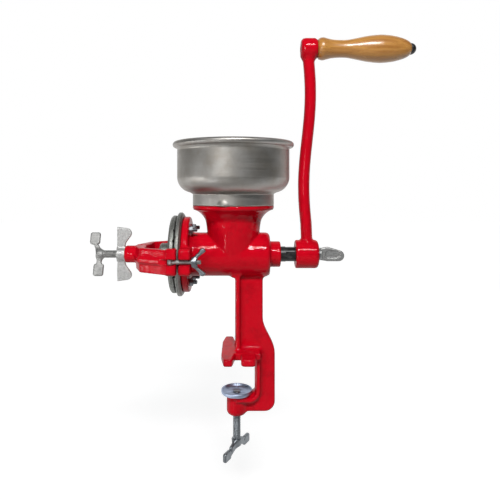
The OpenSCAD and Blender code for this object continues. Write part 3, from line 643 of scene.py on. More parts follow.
class NodeBench:
    """Lays out shader nodes in a tree."""

    def __init__(self, tree: bpy.types.NodeTree) -> None:
        """Takes the tree to work in."""
        self.tree = tree

    def add(self, kind: str, inputs: dict[str | int, object], **settings: object) -> bpy.types.Node:
        """Adds a node.

        Args:
            kind: Blender's name of the node's type.
            inputs: Values or sockets for the node's inputs.
            **settings: Other settings of the node.

        Returns:
            The node.
        """
        node = self.tree.nodes.new(kind)
        for key, value in settings.items():
            setattr(node, key, value)
        self.feed(node, inputs)
        return node

    def feed(self, node: bpy.types.Node, inputs: dict[str | int, object]) -> None:
        """Sets or links a node's inputs.

        Args:
            node: The node.
            inputs: Values or sockets for its inputs.
        """
        for key, value in inputs.items():
            if isinstance(value, Socket):
                self.tree.links.new(value, node.inputs[key])
            else:
                node.inputs[key].default_value = value

    def place(self, stretch: Place = (1, 1, 1)) -> Socket:
        """Reads the place on the piece, in the mill's frame.

        Args:
            stretch: Factor for each direction.

        Returns:
            The place.
        """
        coords = self.tree.nodes.new("ShaderNodeTexCoord")
        inputs = {"Vector": coords.outputs["Object"], "Scale": stretch}
        return self.add("ShaderNodeMapping", inputs).outputs["Vector"]

    def noise(
        self, scale: float, detail: float = 3.0, rough: float = 0.55, vector: Socket | None = None
    ) -> Socket:
        """Returns cloudy noise.

        Args:
            scale: Clouds for each metre.
            detail: Number of finer layers.
            rough: Strength of the finer layers.
            vector: Place to read the noise at, if not the plain one.

        Returns:
            The noise, from 0 to 1.
        """
        inputs = {"Scale": scale, "Detail": detail, "Roughness": rough}
        node = self.add("ShaderNodeTexNoise", {"Vector": vector or self.place(), **inputs})
        return node.outputs["Fac"]

    def ramp(self, value: Socket, stops: Sequence[tuple[float, Shade]]) -> Socket:
        """Reads a colour along a ramp.

        Args:
            value: Where the ramp is read, from 0 to 1.
            stops: Places along the ramp, with their colours.

        Returns:
            The colour.
        """
        node = self.add("ShaderNodeValToRGB", {"Fac": value})
        marks = node.color_ramp.elements
        while len(marks) < len(stops):
            marks.new(0.5)
        for mark, (spot, shade) in zip(marks, stops):
            mark.position = spot
            mark.color = (*shade, 1)
        return node.outputs["Color"]

    def spread(
        self, value: Socket, low: float, high: float, start: float = 0.3, end: float = 0.7
    ) -> Socket:
        """Returns a value mapped from start and end to low and high."""
        inputs = {"From Min": start, "From Max": end, "To Min": low, "To Max": high}
        return self.add("ShaderNodeMapRange", {"Value": value, **inputs}).outputs["Result"]

    def mix(self, share: Socket, a: Socket | Shade, b: Socket | Shade) -> Socket:
        """Mixes two colours.

        Args:
            share: How far the second colour shows.
            a: First colour.
            b: Second colour.

        Returns:
            The mixed colour.
        """
        node = self.add("ShaderNodeMix", {}, data_type="RGBA")
        as_colour = [c if isinstance(c, Socket) else (*c, 1) for c in (a, b)]
        self.feed(node, {0: share, 6: as_colour[0], 7: as_colour[1]})
        return node.outputs[2]

    def bump(self, height: Socket, depth: float, below: Socket | None = None) -> Socket:
        """Tilts the surface for bumps.

        Args:
            height: Height of the bumps, from 0 to 1.
            depth: Their depth in metres.
            below: Direction of coarser bumps under them, if any.

        Returns:
            The surface direction.
        """
        inputs = {"Height": height, "Strength": 1.0, "Distance": depth}
        if below is not None:
            inputs["Normal"] = below
        return self.add("ShaderNodeBump", inputs).outputs["Normal"]

    def pointiness(self) -> Socket:
        """Returns how far the surface stands out, 0.5 on a flat one."""
        return self.tree.nodes.new("ShaderNodeNewGeometry").outputs["Pointiness"]

    def join(self, operation: str, a: Socket | float, b: Socket | float) -> Socket:
        """Returns two numbers joined by a sum of the named kind."""
        return self.add("ShaderNodeMath", {0: a, 1: b}, operation=operation).outputs["Value"]


class Finishing(NodeBench):
    """Lays out the nodes of one material."""

    def __init__(self, name: str) -> None:
        """Starts a material with an empty surface shader.

        Args:
            name: Name of the material.
        """
        self.material = bpy.data.materials.new(name)
        self.material.use_nodes = True
        super().__init__(self.material.node_tree)
        self.surface = self.tree.nodes["Principled BSDF"]

    def finish(self, inputs: dict[str | int, object]) -> Material:
        """Feeds the surface shader and returns the material."""
        self.feed(self.surface, inputs)
        return self.material


@dataclass(frozen=True)
class Finish:
    """A finish that pieces are dressed in.

    Attributes:
        slot: The record's name of the finish.
    """

    slot: str

    def material(self) -> Material:
        """Makes the finish's material."""
        raise NotImplementedError


@dataclass(frozen=True)
class Enamel(Finish):
    """Thick glossy enamel on a sand casting.

    Attributes:
        colour: Colour of the enamel where it lies thick.
        thin: Colour where it has run thin.
        painted_shade: Painted shade, a dark colour laid in hollow corners and along convex edges,
            where shade and dark reflections fall.
    """

    colour: Shade = (0.57, 0.002, 0.012)
    thin: Shade = (0.40, 0.001, 0.008)
    painted_shade: Shade = (0.16, 0.0, 0.003)

    def material(self) -> Material:
        """Makes the enamel, with the casting's sand grain and waves under it, and painted shade in
        its corners and along its edges.

        Returns:
            The material.
        """
        bench = Finishing(self.slot)
        clouds = bench.noise(55, 4)
        colour = bench.ramp(clouds, [(0.25, self.thin), (0.48, self.colour), (0.85, self.colour)])
        # Painted shade: the colour darkens in hollow corners and on convex edges, read from the
        # surface's pointiness.
        edges = bench.pointiness()
        colour = bench.mix(bench.spread(edges, 0.35, 1.0, 0.42, 0.5), self.painted_shade, colour)
        colour = bench.mix(bench.spread(edges, 0.0, 0.55, 0.515, 0.57), colour, self.painted_shade)
        waves = bench.bump(bench.noise(120, 3, 0.5), 0.00065)
        grain = bench.bump(bench.noise(560, 3), 0.0001, waves)
        return bench.finish({
            "Base Color": colour,
            "Roughness": bench.spread(bench.noise(240, 3), 0.16, 0.3),
            "Specular IOR Level": 0.0,
            "Coat Weight": 0.42,
            "Coat Roughness": 0.06,
            "Coat IOR": 1.38,
            "Normal": grain,
            "Coat Normal": grain,
        })


@dataclass(frozen=True)
class BareIron(Finish):
    """Bare cast iron with a sand grain.

    Attributes:
        colour: Colour of the clean iron.
        dark: Colour of its pits.
        roughness: Mean roughness.
    """

    colour: Shade = (0.22, 0.225, 0.207)
    dark: Shade = (0.09, 0.09, 0.082)
    roughness: float = 0.48

    def material(self) -> Material:
        """Makes the iron, darker in its pits and brighter on its edges.

        Returns:
            The material.
        """
        bench = Finishing(self.slot)
        pits = bench.noise(420, 6, 0.65)
        colour = bench.ramp(pits, [(0.32, self.dark), (0.55, self.colour), (0.9, self.colour)])
        bright = bench.spread(bench.pointiness(), 0.0, 0.5, 0.5, 0.56)
        colour = bench.mix(bright, colour, (0.62, 0.62, 0.6))
        return bench.finish({
            "Base Color": colour,
            "Metallic": 0.85,
            "Roughness": bench.spread(pits, self.roughness + 0.14, self.roughness - 0.1),
            "Normal": bench.bump(bench.noise(900, 5, 0.7), 0.00025),
        })


@dataclass(frozen=True)
class Plating(Finish):
    """Bright plated steel.

    Attributes:
        colour: Colour of the plating.
        tint: Colour of its cloudy patches.
        roughness: Mean roughness.
    """

    colour: Shade
    tint: Shade
    roughness: float

    def material(self) -> Material:
        """Makes the plating, with clouds, fine scratches and a dulled skin.

        Returns:
            The material.
        """
        bench = Finishing(self.slot)
        clouds = bench.noise(160, 4, 0.6)
        colour = bench.ramp(clouds, [(0.3, self.tint), (0.62, self.colour)])
        scratch = bench.noise(90, 3, 0.7, bench.place((1, 30, 8)))
        return bench.finish({
            "Base Color": colour,
            "Metallic": 1.0,
            "Roughness": bench.spread(scratch, self.roughness - 0.07, self.roughness + 0.12),
            "Normal": bench.bump(bench.noise(700, 3), 0.00008),
        })


@dataclass(frozen=True)
class BlackIron(Finish):
    """Black oiled iron.

    Attributes:
        colour: Colour of the oiled skin.
        worn: Colour where the skin is rubbed.
    """

    colour: Shade = (0.012, 0.012, 0.013)
    worn: Shade = (0.10, 0.10, 0.10)

    def material(self) -> Material:
        """Makes the black skin, rubbed on its edges.

        Returns:
            The material.
        """
        bench = Finishing(self.slot)
        patches = bench.noise(210, 5, 0.6)
        colour = bench.ramp(patches, [(0.45, self.colour), (0.95, self.worn)])
        rubbed = bench.spread(bench.pointiness(), 0.0, 0.6, 0.51, 0.58)
        return bench.finish({
            "Base Color": bench.mix(rubbed, colour, self.worn),
            "Metallic": 0.3,
            "Roughness": bench.spread(patches, 0.28, 0.5),
            "Normal": bench.bump(bench.noise(800, 4), 0.00012),
        })


@dataclass(frozen=True)
class LacqueredWood(Finish):
    """Turned hardwood under clear lacquer, with its grain along X.

    Attributes:
        early: Colour of the soft growth.
        late: Colour of the hard growth.
        pore: Colour of the pores.
    """

    early: Shade = (0.56, 0.27, 0.065)
    late: Shade = (0.38, 0.155, 0.03)
    pore: Shade = (0.20, 0.075, 0.012)

    def material(self) -> Material:
        """Makes the wood from growth layers, streaks and fine pores.

        Returns:
            The material.
        """
        bench = Finishing(self.slot)
        layers = bench.noise(16, 3, 0.5, bench.place((0.35, 5, 7)))
        streaks = bench.noise(60, 4, 0.6, bench.place((0.12, 5, 5)))
        pores = bench.noise(240, 2, 0.5, bench.place((0.06, 6, 6)))
        colour = bench.ramp(layers, [(0.34, self.late), (0.5, self.early), (0.68, self.late)])
        colour = bench.mix(bench.spread(streaks, 0.0, 0.5, 0.42, 0.7), colour, self.late)
        colour = bench.mix(bench.spread(pores, 0.0, 0.6, 0.6, 0.72), colour, self.pore)
        return bench.finish({
            "Base Color": colour,
            "Roughness": bench.spread(streaks, 0.24, 0.38),
            "Coat Weight": 0.4,
            "Coat Roughness": 0.2,
            "Normal": bench.bump(pores, 0.00006),
        })


@dataclass(frozen=True)
class SpunSheet(Finish):
    """Satin sheet metal with the marks of the spinning lathe.

    Attributes:
        colour: Colour of the metal.
        dull: Colour of its dull rings.
    """

    colour: Shade = (0.42, 0.41, 0.395)
    dull: Shade = (0.32, 0.298, 0.265)

    def material(self) -> Material:
        """Makes the metal, with rings that run round the vertical axis.

        Returns:
            The material.
        """
        bench = Finishing(self.slot)
        rings = bench.noise(700, 3, 0.7, bench.place((0.012, 0.012, 1)))
        broad = bench.noise(70, 2, 0.5, bench.place((0.05, 0.05, 1)))
        clouds = bench.noise(45, 4, 0.6)
        colour = bench.ramp(clouds, [(0.3, self.dull), (0.65, self.colour)])
        colour = bench.mix(bench.spread(broad, 0.0, 0.3), colour, self.dull)
        return bench.finish({
            "Base Color": colour,
            "Metallic": 1.0,
            "Roughness": bench.spread(rings, 0.41, 0.5),
            "Anisotropic": 0.45,
            "Normal": bench.bump(rings, 0.00005),
        })


class Finishes:
    """The mill's finishes, each made once."""

    def __init__(self) -> None:
        """Lists the finishes by name."""
        self.known: dict[str, Finish] = {
            "dull_zinc": BareIron("cast_zinc", (0.36, 0.36, 0.355), (0.24, 0.24, 0.235), 0.46),
            "red_enamel": Enamel("red_enamel"),
            "burr_iron": BareIron("burr_iron"),
            "zinc_steel": Plating("zinc_steel", (0.25, 0.27, 0.29), (0.17, 0.185, 0.20), 0.4),
            "bright_zinc": Plating("zinc_steel", (0.41, 0.41, 0.40), (0.28, 0.28, 0.275), 0.6),
            "blue_zinc": Plating("zinc_steel", (0.46, 0.54, 0.70), (0.34, 0.40, 0.53), 0.42),
            "cast_zinc": BareIron("cast_zinc", (0.50, 0.50, 0.49), (0.36, 0.36, 0.355), 0.5),
            "black_iron": BlackIron("black_iron"),
            "lacquered_wood": LacqueredWood("lacquered_wood"),
            "tinned_sheet": SpunSheet("tinned_sheet"),
        }
        self.made: dict[str, Material] = {}

    def of(self, name: str) -> Material:
        """Finds the material of a finish.

        Args:
            name: Name of the finish.

        Returns:
            Its material, made at the first call.
        """
        if name not in self.made:
            self.made[name] = self.known[name].material()
        return self.made[name]


@dataclass
class Workshop:
    """Dresses pieces and sets them on the frame's bodies.

    Attributes:
        finishes: The finishes to dress pieces in.
        body_of: The body that carries each node.
    """

    finishes: Finishes
    body_of: dict[str, str] = field(init=False)

    def __post_init__(self) -> None:
        """Notes which body carries each node."""
        groups = frame["record"]["behaviour"]["bodies"]
        self.body_of = {node: body for body, nodes in groups.items() for node in nodes}

    def fit(self, piece: Piece, node: str, finish: str) -> None:
        """Dresses a piece and lets it stand for a node.

        Args:
            piece: The new piece.
            node: The frame's node that it stands for.
            finish: Name of its finish.
        """
        piece.data.materials.clear()
        piece.data.materials.append(self.finishes.of(finish))
        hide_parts(node)
        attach(piece, self.body_of[node])
        LOG.info("%s: %d faces on %s", piece.name, len(piece.data.polygons), self.body_of[node])

    def dress_node(self, node: str, finish: str) -> None:
        """Gives a node of the frame a finish and leaves its shape.

        Args:
            node: The frame's node.
            finish: Name of its finish.
        """
        mesh = frame["nodes"][node].data
        mesh.materials.clear()
        mesh.materials.append(self.finishes.of(finish))
        LOG.info("%s: kept from the frame", node)


@dataclass
class SubAssembly:
    """A group of pieces that are built and dressed together.

    Attributes:
        shop: The workshop that dresses the pieces.
    """

    shop: Workshop

    def build(self) -> None:
        """Builds the pieces and fits them."""
        raise NotImplementedError


# Places that several pieces share: shaft, grip, faces of the plates, bolts and lugs
AXIS_H = 118.0
AXIS: Point = (0.0, AXIS_H)
GRIP_H = 360.0
FACE_X, RUNNER_X = -62.0, -69.5
BOLT_Y, BOLT_Z, TEE_X = 53.5, 116.0, -71.1
LUG_OUT, LUG_H, SLOT_HALF = 60.0, 29.0, 3.0


@dataclass
class MillBody(SubAssembly):
    """The main casting: head, barrel, throat, post, jaw and clamp arm."""

    head_r: float = 44.0
    head_t: float = 8.0
    barrel_r: float = 25.4
    barrel_end: float = 38.7
    bore_r: float = 21.0
    bore_end: float = 33.0
    bearing_r: float = 15.0
    bearing_end: float = 51.2
    shaft_r: float = 8.95
    throat_x: float = -4.0
    neck_r: float = 31.4
    passage_r: float = 27.0
    waist: tuple[Point, ...] = ((28.0, 130.0), (30.7, 144.0), (31.6, 151.5))
    point_r: float = 24.7
    point_z: float = 112.0
    passage_z: float = 139.0
    flare_r: float = 21.0
    flare_z: float = 150.5
    flange_r: float = 47.6
    throat_top: float = 175.5
    collar_r: float = 46.1
    collar_top: float = 183.5
    post_x: float = -1.0
    post_back: float = 30.6
    spine_x: float = 22.6
    spine_back: float = 44.7
    rib_t: float = 4.8
    rib_w: float = 28.0
    web_t: float = 11.0
    arm_top: float = -47.6
    arm_bottom: float = -65.7
    boss_r: float = 11.8
    boss_bottom: float = -70.4
    clamp_bore: float = 4.55
    jaw_t: float = 8.2
    jaw_l: float = 90.0
    jaw_web_l: float = 48.0
    bar_x: float = -9.5
    bar_w: float = 16.0
    bar_tip_w: float = 10.4
    bar_tip_r: float = 2.5
    edge_bar_x: float = 13.35
    edge_bar_w: float = 16.9
    edge_bar_r: float = 5.0
    lug_t: float = 12.7
    head_edge: float = 2.0
    head_fillet: float = 4.4
    barrel_round: float = 5.0
    bearing_fillet: float = 1.5
    point_drop: float = 6.0
    flare_start: Point = (1.27, 7.18)
    flange_edge: float = 1.2
    collar_edge: float = 0.8
    inner_r: float = 8.0
    heel_r: float = 12.0
    post_round: float = 8.0
    step_top: float = 36.0
    step_h: float = 42.0
    join_z: float = 2.0
    root_r: float = 4.0
    boss_face: float = 1.5
    lug_root: float = 33.0
    over: float = 5.0
    grid: float = 0.9

    def barrel(self) -> list[Point]:
        """Outlines the head, the barrel and the bearing boss.

        Returns:
            The outline, as radius and place along the shaft.
        """
        head, back, end = FACE_X, FACE_X + self.head_t, self.barrel_end
        edge, fillet = self.head_edge, self.head_fillet
        turn, small = self.barrel_round, self.bearing_fillet
        return [
            (0, head), (self.head_r - edge / 2, head), (self.head_r, head + edge / 2),
            *arc(self.head_r - edge, back - edge, edge, 0, 90, 4),
            *arc(self.barrel_r + fillet, back + fillet, fillet, 270, 180, 8),
            *arc(self.barrel_r - turn, end - turn, turn, 0, 80, 8),
            *arc(self.bearing_r + small, end + small, small, 270, 180, 4),
            *arc(self.bearing_r - small, self.bearing_end - small, small, 0, 90, 4),
            (0, self.bearing_end),
        ]

    def throat(self) -> list[Point]:
        """Outlines the throat from its pointed bottom to the collar.

        Returns:
            The outline, as radius and height.
        """
        foot, top = self.point_z - self.point_drop, self.throat_top
        edge, lip = self.flange_edge, self.collar_edge
        flare = (self.neck_r + self.flare_start[0], self.flare_z + self.flare_start[1])
        return [
            (0, foot), (self.point_r - self.point_drop / 2, foot),
            *smooth_curve([(self.point_r, self.point_z), *self.waist, flare], 8),
            *arc(self.neck_r + self.flare_r, self.flare_z, self.flare_r, 155, 105, 10),
            *arc(self.flange_r - edge, top - 2.8, edge, -90, 0, 4),
            (self.flange_r, top - 0.5), (self.flange_r - 0.5, top), (self.collar_r, top),
            (self.collar_r, self.collar_top - lip), (self.collar_r - lip, self.collar_top),
            (0, self.collar_top),
        ]

    def passage(self) -> list[Point]:
        """Outlines the grain's way through the throat.

        Returns:
            The outline, as radius and height.
        """
        r = self.flare_r + self.neck_r - self.passage_r
        flare = arc(self.neck_r + self.flare_r, self.flare_z, r, 180, 115, 10)
        mouth, top = flare[-1][0], self.collar_top + self.over
        bottom = arc(0, self.passage_z, self.passage_r, -90, 0, 14)
        return [*bottom, *flare, (mouth, top), (0, top)]

    def inner_edge(self, back: float = 0.0) -> list[Point]:
        """Outlines the inside of the C.

        Args:
            back: How far it is set back.

        Returns:
            Its points, from the arm up to the jaw.
        """
        r = self.inner_r
        return [
            (0, self.arm_top - back),
            *arc(self.spine_x - r, self.arm_top + r, r + back, -90, 0, 8),
            (self.spine_x + back, self.join_z),
        ]

    def web(self) -> list[Point]:
        """Outlines the web of the post, spine and lower arm.

        Returns:
            The outline, as place along the shaft and height.
        """
        step, top = self.spine_back - self.post_back, self.jaw_t + self.step_top
        slope = [
            (self.post_back + step * (1 - math.cos(math.pi * t)) / 2, top - self.step_h * t)
            for t in np.linspace(0, 1, 13)
        ]
        back, r, heel = self.barrel_end - 2, self.post_round, self.heel_r
        return [
            (back, AXIS_H), (back, AXIS_H - 13),
            *arc(self.post_back + r, AXIS_H - self.barrel_r - 5, r, 100, 180, 6), *slope,
            *arc(self.spine_back - heel, self.arm_bottom + heel, heel, 0, -90, 8),
            (0, self.arm_bottom), *self.inner_edge(), (0, self.join_z), (0, AXIS_H),
        ]

    def flanges(self) -> list[list[Point]]:
        """Outlines the flanges along the post's front and the inside of the C.

        Returns:
            Both outlines, as place along the shaft and height.
        """
        r, front, back = self.root_r, self.post_x, self.post_x + self.rib_t
        under = AXIS_H - self.barrel_r
        post = [
            *arc(front - r, under - r, r, 90, 0, 6),
            (front, 0), (back, 0), (back, under + 12), (front - r, under + 12),
        ]
        return [post, [*self.inner_edge(), *self.inner_edge(self.rib_t)[::-1]]]

    def jaw(self) -> list[list[Point]]:
        """Outlines the jaw's two crossbars and the plate between them, from above.

        Returns:
            The three outlines.
        """
        half, wide, web = self.jaw_l / 2, self.bar_w / 2, self.jaw_web_l / 2
        x, r = self.bar_x, self.bar_tip_r
        tip_x, tip_y = self.bar_tip_w / 2 - r, half - r
        bar = [
            (x + wide, -web), (x + wide, web),
            *arc(x + tip_x, tip_y, r, 0, 90, 4), *arc(x - tip_x, tip_y, r, 90, 180, 4),
            (x - wide, web), (x - wide, -web),
            *arc(x - tip_x, -tip_y, r, 180, 270, 4), *arc(x + tip_x, -tip_y, r, 270, 360, 4),
        ]
        r = self.edge_bar_r
        x0, x1 = centred(self.edge_bar_w, self.edge_bar_x)
        edge_bar = [
            *arc(x1 - r, r - half, r, -90, 0, 5), *arc(x1 - r, half - r, r, 0, 90, 5),
            *arc(x0 + r, half - r, r, 90, 180, 5), *arc(x0 + r, r - half, r, 180, 270, 5),
        ]
        return [bar, edge_bar, rectangle((x, self.spine_x + self.rib_t), (-web, web))]

    def boss(self) -> list[Point]:
        """Outlines the clamp screw's boss.

        Returns:
            The outline, as radius and height.
        """
        edge, lip = self.boss_r - self.clamp_bore - self.boss_face, self.collar_edge
        return [
            (0, self.boss_bottom),
            *arc(self.boss_r - edge, self.boss_bottom + edge, edge, -90, 0, 8),
            (self.boss_r, self.arm_top - lip), (self.boss_r - lip, self.arm_top), (0, self.arm_top),
        ]

    def lug(self, side: int) -> list[Point]:
        """Outlines one lug from the head's axis outwards."""
        shape = lug_outline(self.lug_root, LUG_OUT, centred(LUG_H, BOLT_Z))
        return on_side(shape, side)

    def lug_slot(self, side: int) -> list[Point]:
        """Outlines the open slot in a lug."""
        far = LUG_OUT + self.over
        return on_side(open_slot(BOLT_Y, BOLT_Z, SLOT_HALF, far), side)

    def build(self) -> None:
        """Shapes the casting and fits it."""
        low = (FACE_X, -LUG_OUT, self.boss_bottom)
        block = Casting(low, (self.bearing_end, LUG_OUT, self.collar_top), self.grid)
        lugs, lug_span = [self.lug(-1), self.lug(1)], (FACE_X, FACE_X + self.lug_t)
        block.add(block.turned(Axis.X, self.barrel(), AXIS))
        block.add(block.turned(Axis.Z, self.throat(), (self.throat_x, 0)), blend=1.4)
        block.add(block.prism(Plane.XZ, [self.web()], centred(self.web_t), edge=2), blend=4)
        block.add(block.prism(Plane.XZ, self.flanges(), centred(self.rib_w), edge=1.6), blend=6)
        block.add(block.prism(Plane.XY, self.jaw(), (0, self.jaw_t), edge=1.8), blend=5)
        block.add(block.turned(Axis.Z, self.boss()), blend=3)
        block.add(block.prism(Plane.YZ, lugs, lug_span, edge=1.5), blend=3)
        self.bore(block)
        self.shop.fit(block.skin("body_casting"), "mill_body", "red_enamel")

    def bore(self, block: Casting) -> None:
        """Cuts the passage, the bores and the bolt slots.

        Args:
            block: The casting.
        """
        front, back, over = FACE_X - self.over, self.bearing_end + self.over, self.over
        block.cut(block.turned(Axis.Z, self.passage(), (self.throat_x, 0)), blend=0.8)
        block.cut(block.rod(Axis.X, self.bore_r, (front, self.bore_end), AXIS), blend=0.8)
        block.cut(block.rod(Axis.X, self.shaft_r, (0, back), AXIS), blend=0.6)
        screw_span = (self.boss_bottom - over, self.arm_top + 2)
        block.cut(block.rod(Axis.Z, self.clamp_bore, screw_span), blend=0.6)
        slots = [self.lug_slot(-1), self.lug_slot(1)]
        slot_span = (front, FACE_X + self.lug_t + over)
        block.cut(block.prism(Plane.YZ, slots, slot_span, edge=0.2), blend=1.2)


@dataclass
class BurrPlates(SubAssembly):
    """The fixed and the turning grinding plate, with the fixed one's screws and nuts."""

    plate_r: float = 49.0
    plate_t: float = 6.0
    eye_r: float = 21.0
    runner_r: float = 45.4
    runner_t: float = 6.5
    hub_r: float = 13.0
    hub_x: float = -90.0
    tenon: float = 13.2
    furrow_w: float = 2.2
    furrow_depth: float = 1.2
    furrow_count: int = 20
    screw_y: float = 17.5
    screw_z: float = 30.0
    screw_r: float = 2.5
    nut_r: float = 4.6
    nut_h: float = 4.25
    screw_tip_x: float = -45.0
    head_back_x: float = -54.0
    head_r: float = 4.9
    sink_r: float = 5.3
    hole_r: float = 2.7
    nut_points: int = 72
    pitch: float = 0.8
    groove: float = 0.35
    furrow_r: float = 25.0
    lean: float = 24.0
    dish_r: Point = (11.5, 24.0)
    grid: float = 0.6

    def spots(self) -> list[Point]:
        """Lists the places of the four screws."""
        sides = (-1, 1)
        return [(y * self.screw_y, AXIS_H + z * self.screw_z) for y in sides for z in sides]

    def furrows(self, length: float, lean: float) -> list[list[Point]]:
        """Outlines the slanted furrows in a plate's face.

        Args:
            length: Length of the furrows.
            lean: Slant against the radius, in degrees.

        Returns:
            One outline for each furrow.
        """
        r, half, slant = self.furrow_r, self.furrow_w / 2, math.radians(lean)
        outlines = []
        for turn in np.arange(self.furrow_count) * 2 * math.pi / self.furrow_count:
            root = np.array([r * math.cos(turn), AXIS_H + r * math.sin(turn)])
            run = np.array([math.cos(turn + slant), math.sin(turn + slant)])
            side, tip = np.array([-run[1], run[0]]) * half, root + run * length
            ends = [root - side, tip - side, tip + side, root + side]
            outlines.append([tuple(end) for end in ends])
        return outlines

    def build_fixed(self) -> None:
        """Shapes the fixed plate."""
        front, back = FACE_X - self.plate_t, FACE_X
        r, eye, sink, hole = self.plate_r, self.eye_r, self.sink_r, self.hole_r
        block = Casting((front, -r, AXIS_H - r), (back, r, AXIS_H + r), self.grid)
        rim = [
            (0, front), (r - 1.2, front), (r - 0.3, front + 0.4), (r, front + 1.2),
            (r, back - 2.2), (r - 2.6, back), (0, back),
        ]
        block.add(block.turned(Axis.X, rim, AXIS))
        mouth = [(0, front - 4), (eye + 4, front - 1), (eye, front + 3), (eye, 0), (0, 0)]
        block.cut(block.turned(Axis.X, mouth, AXIS), blend=0.5)
        face, depth = self.furrows(r, -self.lean), (front - 3, front + self.furrow_depth)
        block.cut(block.prism(Plane.YZ, face, depth, edge=0.2), blend=0.5)
        seat = [
            (0, front - 2), (sink, front - 0.1), (sink, front + 0.05),
            (hole, front + 2.7), (hole, 0), (0, 0),
        ]
        for spot in self.spots():
            block.cut(block.turned(Axis.X, seat, spot), blend=0.2)
        self.shop.fit(block.skin("fixed_burr_plate"), "stationary_plate", "burr_iron")

    def build_runner(self) -> None:
        """Shapes the turning plate with its hub."""
        face, back = RUNNER_X, RUNNER_X - self.runner_t
        r, hub, end = self.runner_r, self.hub_r, self.hub_x
        block = Casting((end, -r, AXIS_H - r), (face, r, AXIS_H + r), self.grid)
        shape = [
            (0, end), (hub - 1.5, end), (hub, end + 1.5), *arc(hub + 4, back - 4, 4, 180, 90, 6),
            (r - 2, back), (r, back + 2), (r, face - 1), (r - 1, face), (0, face),
        ]
        block.add(block.turned(Axis.X, shape, AXIS))
        inner, outer = self.dish_r
        dish = [(0, face - 2), (inner, face - 2), (outer, face), (outer, 0), (0, 0)]
        block.cut(block.turned(Axis.X, dish, AXIS), blend=0.4)
        furrows, depth = self.furrows(r, self.lean), (face - self.furrow_depth, face + 3)
        block.cut(block.prism(Plane.YZ, furrows, depth, edge=0.2), blend=0.5)
        square = rectangle(centred(self.tenon), centred(self.tenon, AXIS_H))
        block.cut(block.prism(Plane.YZ, [square], (end - 5, 0), edge=0.1))
        self.shop.fit(block.skin("turning_burr_plate"), "rotating_plate", "burr_iron")

    def hex_radius(self, s: Array, a: Array) -> Array:
        """Gives the radius of a chamfered hexagon nut.

        Args:
            s: Places along the axis.
            a: Angles about it, in radians.

        Returns:
            The radius at each of them.
        """
        flat = self.nut_r * math.cos(math.pi / 6)
        side = flat / np.cos((a % (math.pi / 3)) - math.pi / 6)
        end = np.minimum(s - self.head_back_x, self.head_back_x + self.nut_h - s)
        return np.minimum(side, flat + 0.12 + 1.7 * end)

    def build_fasteners(self) -> None:
        """Builds the four screws and their nuts."""
        thread = Thread(self.screw_r, self.pitch, self.groove)
        front = FACE_X - self.plate_t + 0.3
        span, threaded = (front + 0.1, self.screw_tip_x), (self.head_back_x, self.screw_tip_x)
        rows = self.head_back_x + self.nut_h * np.array([0, 0.04, 0.1, 0.2, 0.8, 0.9, 0.96, 1])
        head = [
            (AXIS_GAP, front), (self.head_r, front),
            (self.head_r - 2.5, front + 2.5), (AXIS_GAP, front + 2.5),
        ]
        nuts, screws = [], []
        for spot in self.spots():
            nuts.append(sleeve("nut", Axis.X, rows, self.hex_radius, spot, self.nut_points))
            screws.append(thread.bar("screw", Axis.X, span, threaded, spot))
            screws.append(spin("screw_head", Axis.X, head, spot, SMALL_ROUND))
        self.shop.fit(merge("plate_hex_nuts", nuts), "plate_nuts", "zinc_steel")
        self.shop.fit(merge("plate_flat_screws", screws), "plate_screws", "zinc_steel")

    def build(self) -> None:
        """Builds both plates and their fasteners."""
        self.build_fixed()
        self.build_runner()
        self.build_fasteners()


